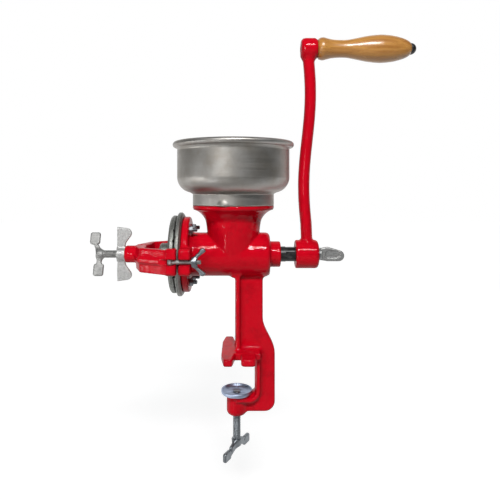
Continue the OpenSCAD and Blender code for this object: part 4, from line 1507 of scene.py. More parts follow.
@dataclass
class Bridge(SubAssembly):
    """The bridge that carries the adjusting screw: two splayed arms on a short end wall."""

    lug_x: float = -75.8
    lug_t: float = 11.2
    boss_x: float = -117.8
    end_x: float = -131.2
    boss_r: float = 10.0
    arm_t: float = 8.0
    arm_lean: float = 32.0
    wall_lean: float = 15.0
    shoulder_y: float = 31.0
    shoulder_set: float = 8.0
    arm_z: Point = (101.0, 130.0)
    draft: float = 0.07
    rib_h: float = 6.0
    rib_out: float = 1.8
    lug_in: float = 49.5
    bore_r: float = 4.55
    pocket_r: float = 3.4
    pocket_h: float = 7.0
    over: float = 5.0
    grid: float = 0.6

    def arm(self, side: int, grow: float = 0.0) -> list[Point]:
        """Outlines one arm from above.

        Args:
            side: -1 for the front and 1 for the rear.
            grow: How far its outer face is moved out.

        Returns:
            The outline.
        """
        lean = math.radians(self.arm_lean)
        shoulder, inner = self.boss_x + self.shoulder_set + self.arm_t, self.boss_x + self.arm_t
        out_x, in_x = self.lug_x - 2, self.lug_x - 4
        out_y = self.shoulder_y + self.arm_t / math.cos(lean) + (out_x - shoulder) * math.tan(lean)
        in_y = self.shoulder_y + (in_x - shoulder) * math.tan(lean)
        turn = (180 - self.wall_lean, 90 + self.arm_lean)
        shape = [
            (self.boss_x - grow, 0), (self.boss_x - grow, self.boss_r - 1),
            *arc(shoulder, self.shoulder_y, self.arm_t + grow, *turn, 6),
            (out_x, out_y + grow), (self.lug_x + 2, out_y), (self.lug_x + 2, self.lug_in),
            (in_x, self.lug_in), (in_x, in_y), (shoulder, self.shoulder_y),
            (inner + 6, self.boss_r), (inner + 4, 0),
        ]
        return [(x, side * y) for x, y in shape]

    def build(self) -> None:
        """Shapes the bridge and fits it."""
        half, heights = LUG_OUT + 2, centred(LUG_H + 3, BOLT_Z)
        lug_end = self.lug_x + self.lug_t
        block = Casting((self.end_x, -half, heights[0]), (lug_end, half, heights[1]), self.grid)
        boss = [
            (0, self.end_x), (self.boss_r - 1.5, self.end_x), (self.boss_r, self.end_x + 1.5),
            (self.boss_r, self.boss_x + 4), (0, self.boss_x + 4),
        ]
        block.add(block.turned(Axis.X, boss, AXIS))
        arms = [self.arm(-1), self.arm(1)]
        taper = self.draft * np.abs(block.grid[2] - BOLT_Z)
        walls = block.prism(Plane.XY, arms, self.arm_z, edge=2.2)
        block.add(walls + taper.astype(np.float32), blend=4)
        ribs = [self.arm(-1, self.rib_out), self.arm(1, self.rib_out)]
        rib_z = centred(self.rib_h, BOLT_Z)
        block.add(block.prism(Plane.XY, ribs, rib_z, edge=1.6), blend=2.5)
        lug = lug_outline(self.lug_in, LUG_OUT, centred(LUG_H, BOLT_Z))
        for side in (-1, 1):
            shape = block.prism(Plane.YZ, [on_side(lug, side)], (self.lug_x, lug_end), edge=1.4)
            block.add(shape, blend=2)
        self.bore(block)
        self.shop.fit(block.skin("bridge_casting"), "bridge", "red_enamel")

    def bore(self, block: Casting) -> None:
        """Cuts the screw's bore and the pockets and slots of the swing bolts.

        Args:
            block: The casting.
        """
        x, y, z, r, half = TEE_X, BOLT_Y, BOLT_Z, self.pocket_r, SLOT_HALF
        far, back = LUG_OUT + self.over, self.lug_x + self.lug_t + self.over
        screw_span = (self.end_x - self.over, self.lug_x)
        block.cut(block.rod(Axis.X, self.bore_r, screw_span, AXIS), blend=0.5)
        slot, relief = open_slot(y, z, half, far), rectangle((y, far), centred(2 * half, z))
        for side in (-1, 1):
            shape = block.prism(Plane.YZ, [on_side(slot, side)], (x, back), edge=0.2)
            block.cut(shape, blend=0.8)
            shape = block.prism(Plane.YZ, [on_side(relief, side)], (self.lug_x - 8, x), edge=0.2)
            block.cut(shape, blend=0.8)
            pocket = [*arc(x, y, r, 180, 360, 8), (x + r, far), (x - r, far)]
            pocket = [(u, side * v) for u, v in pocket]
            shape = block.prism(Plane.XY, [pocket], centred(self.pocket_h, z), edge=0.2)
            block.cut(shape, blend=0.6)


def wing(reach: float, root_w: float, tip_w: float, sweep: float) -> list[Point]:
    """Outlines a pair of wings that reach out from an axis and are swept along it.

    Args:
        reach: Distance from the axis to the tips.
        root_w: Width at the hub.
        tip_w: Width of the round tips.
        sweep: How far the tips are set along the axis.

    Returns:
        The outline, as distance across and place along the axis.
    """
    right = [
        (0, -root_w / 2), (reach * 0.35, sweep * 0.2 - root_w / 2),
        *arc(reach - tip_w / 2, sweep, tip_w / 2, -90, 90, 12),
        (reach * 0.35, sweep * 0.2 + root_w / 2), (0, root_w / 2),
    ]
    return [*right, *flipped(right)[::-1]]


def paddle(reach: float, root_w: float, tip: Point, sweep: float) -> list[Point]:
    """Outlines one wing with a squared tip on a narrow stem.

    Args:
        reach: Distance from the axis to the tip's end.
        root_w: Width of the stem.
        tip: Length and width of the tip.
        sweep: How far the tip is set along the axis.

    Returns:
        The outline, as distance across and place along the axis.
    """
    r, inner, (low, high) = 2.6, reach - tip[0], centred(tip[1], sweep)
    return [
        (0, -root_w / 2), (inner - 1, 0.7 * sweep - root_w / 2),
        *arc(inner + r, low + r, r, 180, 270, 4), *arc(reach - r, low + r, r, 270, 360, 4),
        *arc(reach - r, high - r, r, 0, 90, 4), *arc(inner + r, high - r, r, 90, 180, 4),
        (inner - 1, 0.7 * sweep + root_w / 2), (0, root_w / 2),
    ]


@dataclass(frozen=True)
class WingHead:
    """A cast screw head with two wings, shaped about its own upright axis.

    Attributes:
        reach: Distance from the axis to the tips.
        root_w: Width of the wings' stems.
        tip: Length and width of the tips.
        sweeps: How far each tip is set along the axis.
        hub: Outline of the hub, as radius and height.
        room: Lowest and highest place that the wings need.
        wing_t: Thickness of the wings.
        half: Half of the room across the wings.
        grid: Spacing of the grid.
    """

    reach: float
    root_w: float
    tip: Point
    sweeps: Point
    hub: tuple[Point, ...]
    room: Point
    wing_t: float = 4.5
    half: float = 8.0
    grid: float = 0.4

    def build(self, spot: Matrix) -> Piece:
        """Shapes the head and sets it on its screw.

        Args:
            spot: Where the head stands in the mill.

        Returns:
            The new object.
        """
        (low, high), reach = self.room, self.reach
        block = Casting((-reach, -self.half, low), (reach, self.half, high), self.grid)
        block.add(block.turned(Axis.Z, self.hub))
        first, second = [paddle(reach, self.root_w, self.tip, sweep) for sweep in self.sweeps]
        ears = [first, flipped(second)]
        block.add(block.prism(Plane.XZ, ears, centred(self.wing_t), edge=1.7), blend=4)
        return block.skin("ears", spot)


@dataclass
class SwingBolts(SubAssembly):
    """The two bolts that hold the bridge, with their wing nuts."""

    bolt_r: float = 2.5
    bolt_l: float = 33.0
    tee_r: float = 3.1
    tee_h: float = 6.4
    nut_x: float = -48.2
    hub_r: float = 5.1
    hub_l: float = 5.0
    reach: float = 15.0
    root_w: float = 5.4
    tip_w: float = 7.0
    wing_t: float = 4.8
    sweep: float = 9.2
    pitch: float = 0.9
    groove: float = 0.4
    plain_l: float = 14.0
    tee_edge: float = 0.6
    grid: float = 0.35

    def build_bolt(self, place: str, side: int) -> None:
        """Builds one threaded bolt with its T-head.

        Args:
            place: Which one it is, as its names say it.
            side: -1 for the front and 1 for the rear.
        """
        middle = (side * BOLT_Y, BOLT_Z)
        end = TEE_X + self.bolt_l
        thread = Thread(self.bolt_r, self.pitch, self.groove)
        threaded = (TEE_X + self.plain_l, end)
        shank = thread.bar("shank", Axis.X, (TEE_X, end), threaded, middle)
        tee = chamfered(AXIS_GAP, self.tee_r, centred(self.tee_h, BOLT_Z), self.tee_edge)
        head = spin("tee", Axis.Z, tee, (TEE_X, side * BOLT_Y), SMALL_ROUND)
        bolt = merge(f"{place}_bolt_shank", [shank, head])
        self.shop.fit(bolt, f"{place}_swing_bolt", "bright_zinc")

    def build_nut(self, place: str, side: int) -> None:
        """Shapes one wing nut about its own axis and sets it on its bolt.

        Args:
            place: Which one it is, as its names say it.
            side: -1 for the front and 1 for the rear.
        """
        block = Casting((-self.reach, -6, 0), (self.reach, 6, 16), self.grid)
        r, top = self.hub_r, self.hub_l
        hub = [(0, 0), (r, 0), (r, 0.6), (r - 0.8, top), (0, top)]
        block.add(block.turned(Axis.Z, hub))
        shape = wing(self.reach, self.root_w, self.tip_w, self.sweep)
        ears = [(x, z + top / 2) for x, z in shape]
        block.add(block.prism(Plane.XZ, [ears], centred(self.wing_t), edge=1.8), blend=2.5)
        block.cut(block.rod(Axis.Z, self.bolt_r + FIT, (-5, 20)), blend=0.4)
        seat = Matrix.Translation((self.nut_x, side * BOLT_Y, BOLT_Z))
        nut = block.skin(f"{place}_ear_nut", seat @ Matrix.Rotation(math.pi / 2, 4, "Y"))
        self.shop.fit(nut, f"{place}_wing_nut", "zinc_steel")

    def build(self) -> None:
        """Builds both bolts and both nuts."""
        for place, side in (("front", -1), ("rear", 1)):
            self.build_bolt(place, side)
            self.build_nut(place, side)


@dataclass
class Adjuster(SubAssembly):
    """The thrust screw that sets the grinding gap, and its winged lock nut."""

    tip_x: float = -96.6
    end_x: float = -157.3
    screw_r: float = 4.5
    pitch: float = 1.25
    hub_l: float = 8.0
    wing_turn: float = -18.0
    lock_x: float = -131.3
    lock_l: float = 9.5
    lock_reach: float = 32.0
    lock_hub_r: float = 7.4
    groove: float = 0.55
    lock_wing_t: float = 4.5
    lock_grid: float = 0.4
    head: WingHead = WingHead(
        reach=26.0, root_w=6.0, tip=(14.5, 12.0), sweeps=(7.0, 0.3), room=(-8.0, 14.0),
        hub=((0, -4), (4.9, -4), (5.6, -1), (5.6, 2), (4, 4), (0, 4)),
    )

    def build_screw(self) -> None:
        """Builds the threaded bar and its wings."""
        thread = Thread(self.screw_r, self.pitch, self.groove)
        span, threaded = (self.end_x - 1, self.tip_x), (self.end_x + 1, self.tip_x - 4)
        bar = thread.bar("bar", Axis.X, span, threaded, AXIS)
        spot = (
            Matrix.Translation((self.end_x - self.hub_l / 2, 0, AXIS_H))
            @ Matrix.Rotation(math.radians(self.wing_turn), 4, "X")
            @ Matrix.Rotation(-math.pi / 2, 4, "Y")
        )
        screw = merge("thrust_screw", [bar, self.head.build(spot)])
        self.shop.fit(screw, "adjusting_screw", "bright_zinc")

    def build_lock(self) -> None:
        """Shapes the lock nut with its straight-backed wings."""
        x, reach, r = self.lock_x, self.lock_reach, self.lock_hub_r
        end = x - self.lock_l
        block = Casting((end, -8, AXIS_H - reach), (x + 8, 8, AXIS_H + reach), self.lock_grid)
        block.add(block.rod(Axis.X, r, (end, x), AXIS))
        upper = [
            (end, 0), (end, reach), *arc(x + 1.5, reach - 7.5, 6, 80, -30, 8),
            *arc(x + 9, r + 2, 9, 140, 180, 5), (x, 0),
        ]
        for side in (-1, 1):
            ear = [(u, AXIS_H + side * v) for u, v in upper]
            block.add(block.prism(Plane.XZ, [ear], centred(self.lock_wing_t), edge=0.9), blend=2.5)
        block.cut(block.rod(Axis.X, self.screw_r + FIT, (x - 20, x + 9), AXIS), blend=0.4)
        self.shop.fit(block.skin("winged_lock_nut"), "adjuster_lock_nut", "cast_zinc")

    def build(self) -> None:
        """Builds the screw and the lock nut."""
        self.build_screw()
        self.build_lock()
        self.shop.dress_node("thrust_ball", "zinc_steel")


@dataclass
class WormShaft(SubAssembly):
    """The shaft with its feed worm and square ends."""

    tip_x: float = -91.5
    worm_x: float = -67.0
    worm_end: float = 25.0
    collar: Point = (26.0, 30.0)
    square_x: float = 57.2
    end_x: float = 93.7
    shaft_r: float = 8.9
    core_r: float = 9.5
    flight_r: float = 20.0
    pitch: float = 25.0
    plate_tenon: float = 13.0
    crank_tenon: float = 16.2
    tenon_corner: float = 9.1
    collar_r: float = 11.5
    crest_half: float = 0.17
    crest_edge: float = 0.09
    rings: int = 330
    points: int = 120
    ring_gap: float = 0.01

    def square(self, a: Array, flats: float, corner: float) -> Array:
        """Gives the radius of a square tenon at angles a, with its corners cut at a radius."""
        side = flats / 2 / np.maximum(np.abs(np.cos(a)), np.abs(np.sin(a)))
        return np.minimum(side, corner)

    def radius(self, s: Array, a: Array) -> Array:
        """Gives the shaft's radius.

        Args:
            s: Places along the axis.
            a: Angles about it, in radians.

        Returns:
            The radius at each of them.
        """
        s, a = np.broadcast_arrays(s, a)
        phase = (a / (2 * math.pi) + (s - self.worm_x) / self.pitch) % 1.0
        crest = np.clip((self.crest_half - np.abs(phase - 0.5)) / self.crest_edge, 0, 1)
        worm = self.core_r + (self.flight_r - self.core_r) * crest * crest * (3 - 2 * crest)
        r = np.full(s.shape, self.shaft_r)
        r = np.where((s >= self.worm_x) & (s <= self.worm_end), worm, r)
        r = np.where((s >= self.collar[0]) & (s <= self.collar[1]), self.collar_r, r)
        r = np.where(s < RUNNER_X, self.square(a, self.plate_tenon, self.tenon_corner), r)
        return np.where(s > self.square_x, self.square(a, self.crank_tenon, self.shaft_r), r)

    def build(self) -> None:
        """Builds the shaft."""
        steps = [RUNNER_X, self.worm_x, self.worm_end, *self.collar, self.square_x]
        pairs = [np.array(centred(2 * self.ring_gap, step)) for step in steps]
        along = np.concatenate([np.linspace(self.tip_x, self.end_x, self.rings), *pairs])
        worm = sleeve("worm_shaft", Axis.X, np.unique(along), self.radius, AXIS, self.points)
        self.shop.fit(worm, "auger_shaft", "black_iron")


@dataclass
class Crank(SubAssembly):
    """The cranked arm with its hub, grip boss, washer and thumb screw."""

    hub_x: Point = (68.7, 95.7)
    hub_r: float = 16.6
    boss_x: Point = (75.8, 94.6)
    boss_r: float = 12.4
    arm_t: float = 13.4
    arm_w: float = 16.0
    arm_bend: float = 3.9
    root_set: float = 2.0
    tenon: float = 16.4
    pin_r: float = 4.05
    washer_r: float = 7.7
    washer_t: float = 1.8
    washer_edge: float = 0.4
    paddle_l: float = 28.0
    paddle_h: float = 17.0
    paddle_t: float = 5.0
    tip_r: float = 6.5
    tip_drop: float = 2.0
    thumb_r: float = 3.0
    thumb_start: Point = (78.7, 79.5)
    thumb_pitch: float = 1.0
    thumb_groove: float = 0.45
    hole_r: float = 9.0
    arm_set: float = 0.7
    bend_span: Point = (0.07, 0.94)
    root_share: float = 0.12
    arm_taper: Point = (0.53, 0.07)
    grid: float = 0.6
    paddle_grid: float = 0.35

    def arm(self, block: Casting) -> Array:
        """Shapes the oval arm along its bend.

        Args:
            block: The casting.

        Returns:
            Distances on the casting's grid.
        """
        x, y, z = np.meshgrid(*block.grid, indexing="ij", sparse=True)
        root = AXIS_H + self.hub_r / 2
        t = np.clip((z - root) / (GRIP_H - root), 0, 1)
        start, length = self.bend_span
        bend = self.arm_bend * np.sin(2 * math.pi * (t - start) / length)
        middle = sum(self.hub_x) / 2 + self.arm_set - bend
        middle = middle - self.root_set * np.clip(1 - t / self.root_share, 0, 1)
        wide = self.arm_w * (self.arm_taper[0] - self.arm_taper[1] * t)
        u, v = (x - middle) / (self.arm_t / 2), y / wide
        near = np.hypot(u, v)
        steep = np.hypot(u / (self.arm_t / 2), v / wide)
        oval = near * (near - 1) / np.maximum(steep, 1e-6)
        ends = np.maximum(root - z, z - GRIP_H)
        return np.maximum(oval, ends).astype(np.float32)

    def build_arm(self) -> None:
        """Shapes the arm, its hub and its boss as one casting."""
        (x0, x1), r, tip = self.hub_x, self.hub_r, (0, GRIP_H)
        low, high = (x0, -r, AXIS_H - r), (x1, r, GRIP_H + self.boss_r)
        block = Casting(low, high, self.grid)
        hub = [
            (0, x0), (r - 1, x0), (r, x0 + 1), (r, x1 - 3.5),
            (r - 1, x1 - 1.2), (r - 3.5, x1), (0, x1),
        ]
        block.add(block.turned(Axis.X, hub, AXIS))
        block.add(self.arm(block), blend=3.5)
        (b0, b1), r = self.boss_x, self.boss_r
        boss = [
            (0, b0), (r - 3, b0), (r - 0.8, b0 + 2), (r, b0 + 5),
            (r, b1 - 3), (r - 1.5, b1), (0, b1),
        ]
        block.add(block.turned(Axis.X, boss, tip), blend=5)
        square = rectangle(centred(self.tenon), centred(self.tenon, AXIS_H))
        through = (x0 - 5, x1 + 5)
        hole = block.prism(Plane.YZ, [square], through, edge=0.2)
        block.cut(np.maximum(hole, block.rod(Axis.X, self.hole_r, through, AXIS)), blend=0.5)
        block.cut(block.rod(Axis.X, self.pin_r, (b0 - 5, b1 + 5), tip), blend=0.5)
        self.shop.fit(block.skin("crank_casting"), "crank", "red_enamel")

    def build_washer(self) -> None:
        """Builds the washer with rounded edges."""
        x0, x1 = self.hub_x[1] + 0.1, self.hub_x[1] + self.washer_t
        loop = chamfered(self.thumb_r + FIT, self.washer_r, (x0, x1), self.washer_edge)
        self.shop.fit(spin("hub_washer", Axis.X, loop, AXIS, ROUND), "crank_washer", "zinc_steel")

    def build_thumb_screw(self) -> None:
        """Shapes the thumb screw's paddle and its thread."""
        seat = self.hub_x[1] + self.washer_t + 0.1
        root, tip, long, high = seat + 1, self.paddle_h / 2, self.paddle_l, self.paddle_h
        low = (seat, -6, AXIS_H - tip)
        block = Casting(low, (root + long, 6, AXIS_H + tip), self.paddle_grid)
        level = AXIS_H - self.tip_drop
        blade = [
            (root, AXIS_H - 0.42 * high), (root + 0.3 * long, AXIS_H - tip),
            *arc(root + long - self.tip_r, level, self.tip_r, -90, 80, 14),
            (root + 0.3 * long, AXIS_H + tip), (root, AXIS_H + 0.42 * high),
        ]
        block.add(block.prism(Plane.XZ, [blade], centred(self.paddle_t), edge=1.6))
        block.add(block.rod(Axis.X, self.thumb_r + 3, (seat, seat + 2), AXIS), blend=1.5)
        middle, r, half = seat + 2 + 0.46 * long, 0.26 * high, 0.14 * long
        oval = [
            *arc(middle + half, AXIS_H, r, -90, 90, 10),
            *arc(middle - half, AXIS_H, r, 90, 270, 10),
        ]
        for side in (-1, 1):
            block.cut(block.prism(Plane.XZ, [oval], (side * 1.5, side * 6), edge=0.4), blend=1.0)
        sprue = arc(root + 0.78 * long, level, 1.1, 0, 330, 11)
        block.cut(block.prism(Plane.XZ, [sprue], (-6, -1.6), edge=0.1), blend=0.5)
        thread = Thread(self.thumb_r, self.thumb_pitch, self.thumb_groove)
        bar_x, thread_x = self.thumb_start
        bar = thread.bar("bar", Axis.X, (bar_x, seat + 1), (thread_x, seat), AXIS)
        screw = merge("thumb_screw", [block.skin("paddle"), bar])
        self.shop.fit(screw, "crank_thumb_screw", "dull_zinc")

    def build(self) -> None:
        """Builds the arm, the washer and the thumb screw."""
        self.build_arm()
        self.build_washer()
        self.build_thumb_screw()


@dataclass
class Grip(SubAssembly):
    """The turned wooden grip and the pin that it turns on."""

    start: float = 94.9
    length: float = 109.5
    r: float = 16.1
    pin_r: float = 4.0
    pin_start: float = 76.3
    head_r: float = 6.8
    shape: tuple[Point, ...] = (
        (0.0, 0.58), (0.02, 0.76), (0.06, 0.82), (0.105, 0.75), (0.16, 0.67),
        (0.245, 0.63), (0.33, 0.652), (0.43, 0.776), (0.54, 0.92), (0.65, 0.997),
        (0.71, 1.0), (0.81, 0.93), (0.91, 0.765), (0.97, 0.59), (1.0, 0.43),
    )

    def build(self) -> None:
        """Turns the grip and the pin."""
        middle = (0, GRIP_H)
        bore = self.pin_r + FIT
        outside = [(r * self.r, self.start + s * self.length) for s, r in smooth_curve(self.shape)]
        loop = [(bore, self.start), *outside, (bore, self.start + self.length)]
        wood = spin("wooden_grip", Axis.X, loop, middle, LARGE_ROUND)
        self.shop.fit(wood, "grip", "lacquered_wood")
        seat = self.start + self.length + 0.3
        dome = [
            (AXIS_GAP, self.pin_start), (self.pin_r, self.pin_start), (self.pin_r, seat),
            *arc(0, seat, self.head_r, 0, 89, 12), (AXIS_GAP, seat + self.head_r),
        ]
        self.shop.fit(spin("grip_rivet", Axis.X, dome, middle, ROUND), "grip_pin", "black_iron")


@dataclass
class Hopper(SubAssembly):
    """The spun feed hopper with its rolled rim and pressed dimples."""

    middle: Point = (-4.0, 0.0)
    foot: float = 175.6
    neck_r: float = 46.4
    neck_h: float = 16.0
    bowl_r: float = 64.6
    bowl_h: float = 58.0
    corner_r: float = 17.0
    sheet: float = 1.2
    rim_r: float = 3.5
    dimple_w: float = 14.0
    bulge: float = 1.6
    first_dimple: float = 257.0
    dimples: int = 3
    neck_rows: int = 10
    neck_round: float = 2.6
    around: int = 240

    def wall(self, out: float) -> list[Point]:
        """Outlines the wall from the foot to the rim, set out by the sheet's thickness.

        Args:
            out: Distance from the inner face.

        Returns:
            The points from the foot up.
        """
        bowl_z = self.foot + self.neck_h
        neck, bowl, corner = self.neck_r + out, self.bowl_r, self.corner_r
        round_r = self.neck_round + out
        rows = np.linspace(0, self.neck_h - self.neck_round - out, self.neck_rows)
        upper = np.linspace(corner + 3, self.bowl_h - 2 * self.rim_r, 8)
        return [
            *[(neck, self.foot + h) for h in rows],
            *arc(neck + round_r - 2 * out, bowl_z - round_r + 0.3, round_r - 2 * out, 180, 95, 5),
            *arc(bowl - corner, bowl_z + corner, corner + out, -80, 0, 16),
            *[(bowl + out, bowl_z + h) for h in upper],
        ]

    def build(self) -> None:
        """Spins the shell and presses its dimples."""
        rim_z = self.foot + self.neck_h + self.bowl_h - self.rim_r
        rim = arc(self.bowl_r + self.rim_r - self.sheet / 2, rim_z, self.rim_r, -75, 180, 20)
        loop = np.array([*self.wall(self.sheet), *rim, *self.wall(0)[::-1]])
        angle = np.linspace(0, 2 * math.pi, self.around, endpoint=False)[None, :]
        r, z = loop[:, :1] + 0 * angle, loop[:, 1:] + 0 * angle
        outer = np.arange(len(loop))[:, None] < self.neck_rows
        for k in range(self.dimples):
            turn = math.radians(self.first_dimple + 360 / self.dimples * k)
            off = (angle - turn + math.pi) % (2 * math.pi) - math.pi
            away = np.hypot(off * self.neck_r, z - self.foot) / (self.dimple_w / 2)
            r = r + outer * self.bulge * np.clip(1 - away**2, 0, 1)
        places = about(Axis.Z, self.middle, r, z, angle)
        faces = ring_faces(len(loop), self.around, True)
        shell = make_mesh("hopper_shell", places.reshape(-1, 3), faces)
        self.shop.fit(shell, "hopper", "tinned_sheet")


@dataclass
class TableClamp(SubAssembly):
    """The clamp screw with its wings, and the dished pad on its tip."""

    screw_r: float = 4.5
    pitch: float = 2.0
    hub_z: float = -99.0
    hub_l: float = 8.0
    turn: float = 242.0
    pad_r: float = 18.3
    pad_top: float = -41.0
    pad_dish: float = 3.5
    pad_t: float = 1.6
    tip_r: float = 3.0
    groove: float = 0.38
    tip_points: int = 48
    head: WingHead = WingHead(
        reach=30.0, root_w=9.0, tip=(14.0, 10.5), sweeps=(7.0, 7.0), room=(-6.0, 16.0),
        hub=((0, -4), (6.1, -4), (6.1, -3), (4.9, 4), (0, 4)),
    )

    def build_screw(self) -> None:
        """Builds the threaded bar, its riveted tip and its wings."""
        floor = self.pad_top - self.pad_dish
        shoulder = floor - self.pad_t - 0.1
        thread = Thread(self.screw_r, self.pitch, self.groove)
        span, threaded = (self.hub_z - 2, shoulder), (self.hub_z + 1, shoulder - 3)
        bar = thread.bar("bar", Axis.Z, span, threaded, (0, 0))
        r = self.tip_r
        rivet = [
            (AXIS_GAP, shoulder - 1), (r, shoulder - 1), (r, floor + 0.1), (r + 1.2, floor + 0.1),
            (r + 0.9, floor + 0.9), (r - 0.6, floor + 1.6), (AXIS_GAP, floor + 1.8),
        ]
        tip = spin("tip", Axis.Z, rivet, (0, 0), self.tip_points)
        spot = (
            Matrix.Translation((0, 0, self.hub_z - self.hub_l / 2))
            @ Matrix.Rotation(math.radians(self.turn), 4, "Z")
            @ Matrix.Rotation(math.pi, 4, "X")
        )
        screw = merge("clamp_spindle", [bar, tip, self.head.build(spot)])
        self.shop.fit(screw, "clamp_screw", "zinc_steel")

    def build_pad(self) -> None:
        """Spins the dished pad."""
        floor = self.pad_top - self.pad_dish
        bore, r, base, top = self.tip_r + FIT, self.pad_r, floor - self.pad_t, self.pad_top
        inside = [(r - 1.7, top - 1.6), (r - 2.8, floor + 0.5), (r - 4.4, floor)]
        loop = [
            (bore, base), *arc(r - 2.4, base + 2.4, 2.4, -90, 0, 8),
            (r, top - 0.4), (r - 0.4, top), (r - 1.0, top), (r - 1.4, top - 0.4),
            *smooth_curve(inside, 4), (bore, floor),
        ]
        disc = spin("clamp_disc", Axis.Z, loop, (0, 0), LARGE_ROUND)
        self.shop.fit(disc, "clamp_pad", "blue_zinc")

    def build(self) -> None:
        """Builds the screw and the pad."""
        self.build_screw()
        self.build_pad()


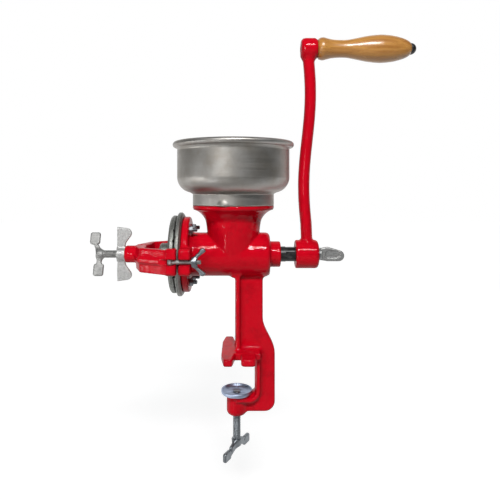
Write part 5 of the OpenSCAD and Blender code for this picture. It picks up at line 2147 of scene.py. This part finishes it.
@dataclass
class Studio:
    """The floor, the light and the camera."""

    floor_z: float = -0.24
    near_glow: float = 0.86
    far_glow: float = 0.98
    front_share: float = 0.15
    room_light: float = 0.09
    focal_px: float = 500.0
    frame_px: float = 500.0
    distance: float = 0.59
    eye_x: float = 0.0038
    eye_z: float = 0.1935
    horizon_px: float = 190.0
    centre_px: float = 240.0
    sensor: float = 36.0
    floor_w: float = 12.0

    def shown(self, bench: NodeBench, behind: Socket) -> Socket:
        """Returns how far a ray shows the white background.

        Args:
            bench: Bench of the background's nodes.
            behind: How far a place lies behind the mill, at the end that reflections see lit.

        Returns:
            1 for camera rays, and the share behind for glossy and transmission rays.
        """
        path = bench.add("ShaderNodeLightPath", {}).outputs
        mirrored = bench.join("MAXIMUM", path["Is Glossy Ray"], path["Is Transmission Ray"])
        share = bench.join("MULTIPLY", mirrored, behind)
        return bench.join("MAXIMUM", path["Is Camera Ray"], share)

    def build_floor(self) -> None:
        """Lays a pale floor that is white to the camera and keeps a soft shadow."""
        corners = rectangle(centred(self.floor_w), centred(self.floor_w))
        mesh = bpy.data.meshes.new("studio_floor")
        mesh.from_pydata([(x, y, self.floor_z) for x, y in corners], [], [(0, 1, 2, 3)])
        floor = bpy.data.objects.new("studio_floor", mesh)
        bpy.context.scene.collection.objects.link(floor)
        bench = Finishing("studio_floor")
        matt = {"Base Color": (0.3, 0.3, 0.3, 1), "Roughness": 0.9, "Specular IOR Level": 0.1}
        bench.feed(bench.surface, matt)
        place = bench.place()
        depth = bench.add("ShaderNodeSeparateXYZ", {0: place}).outputs["Y"]
        away = bench.add("ShaderNodeVectorMath", {0: place}, operation="LENGTH").outputs["Value"]
        light = bench.spread(away, self.near_glow, self.far_glow, 0.5, 2.5)
        glow = bench.add("ShaderNodeEmission", {"Color": (1, 1, 1, 1), "Strength": light})
        lit = bench.add("ShaderNodeAddShader", {0: glow.outputs[0], 1: bench.surface.outputs[0]})
        shown = self.shown(bench, bench.spread(depth, self.front_share, 1.0, -0.3, 0.08))
        shaders = {0: shown, 1: bench.surface.outputs[0], 2: lit.outputs[0]}
        mix = bench.add("ShaderNodeMixShader", shaders)
        bench.feed(bench.tree.nodes["Material Output"], {"Surface": mix.outputs[0]})
        mesh.materials.append(bench.material)

    def build_world(self) -> None:
        """Makes a plain grey room that lights the mill softly and is white to the camera."""
        world = bpy.data.worlds.new("studio")
        bpy.context.scene.world = world
        world.use_nodes = True
        bench = NodeBench(world.node_tree)
        room = bench.tree.nodes["Background"]
        bench.feed(room, {"Color": (0.88, 0.95, 1, 1), "Strength": self.room_light})
        white = bench.add("ShaderNodeBackground", {"Color": (1, 1, 1, 1), "Strength": 1.0})
        towards = bench.add("ShaderNodeTexCoord", {}).outputs["Generated"]
        depth = bench.add("ShaderNodeSeparateXYZ", {0: towards}).outputs["Y"]
        shown = self.shown(bench, bench.spread(depth, 0.0, 1.0, 0.3, 0.7))
        mix = bench.add("ShaderNodeMixShader", {0: shown, 1: room.outputs[0], 2: white.outputs[0]})
        bench.feed(bench.tree.nodes["World Output"], {"Surface": mix.outputs[0]})

    def lamp(
        self, name: str, place: Place, aim: Place, size: Point, power: float, mirrored: bool = True
    ) -> None:
        """Hangs one soft lamp.

        Args:
            name: Name of the lamp.
            place: Where it hangs, in metres.
            aim: What it points at, in metres.
            size: Its width and height.
            power: Its power in watts.
            mirrored: Whether glossy pieces mirror it.
        """
        data = bpy.data.lights.new(name, "AREA")
        data.shape, data.size, data.size_y, data.energy = "RECTANGLE", size[0], size[1], power
        light = bpy.data.objects.new(name, data)
        light.location = place
        light.rotation_euler = (Vector(aim) - Vector(place)).to_track_quat("-Z", "Y").to_euler()
        light.visible_camera = False
        light.visible_glossy = mirrored
        bpy.context.scene.collection.objects.link(light)

    def build_lamps(self) -> None:
        """Hangs the key lamp, three small lamps, a strip on the right and a fill behind."""
        middle = (0.02, 0.0, 0.12)
        self.lamp("key_lamp", (0.08, -1.35, 1.28), middle, (0.5, 0.22), 28)
        self.lamp("front_lamp", (-0.5, -1.25, 0.3), middle, (0.25, 0.25), 2.8)
        self.lamp("low_lamp", (-0.46, -0.52, -0.2), middle, (0.03, 0.2), 0.55)
        self.lamp("side_lamp", (-1.1, -0.4, -0.05), middle, (0.09, 0.32), 2.2)
        self.lamp("strip_lamp", (1.1, 0.65, 0.35), middle, (0.25, 0.9), 0.8)
        self.lamp("back_lamp", (0.3, 1.8, 0.3), middle, (1.0, 0.8), 6, False)

    def build_camera(self) -> None:
        """Sets the camera at the photograph's place."""
        data = bpy.data.cameras.new("camera")
        data.sensor_width = self.sensor
        data.lens = self.sensor * self.focal_px / self.frame_px
        data.shift_x = (self.frame_px / 2 - self.centre_px) / self.frame_px
        data.shift_y = -(self.frame_px / 2 - self.horizon_px) / self.frame_px
        camera = bpy.data.objects.new("camera", data)
        camera.location = (self.eye_x, -self.distance, self.eye_z)
        camera.rotation_euler = Euler((math.pi / 2, 0, 0))
        bpy.context.scene.collection.objects.link(camera)
        bpy.context.scene.camera = camera

    def build(self) -> None:
        """Sets up the whole studio."""
        bpy.context.scene.view_settings.view_transform = "Standard"
        self.build_floor()
        self.build_world()
        self.build_lamps()
        self.build_camera()
        LOG.info("studio set")


def main() -> None:
    """Builds the mill piece by piece, then the studio."""
    logging.basicConfig(level=logging.INFO, format="%(name)s: %(message)s")
    shop = Workshop(Finishes())
    for part in (
        MillBody, BurrPlates, Bridge, SwingBolts, Adjuster,
        WormShaft, Crank, Grip, Hopper, TableClamp,
    ):
        part(shop).build()
    Studio().build()


if __name__ == "__main__":
    main()
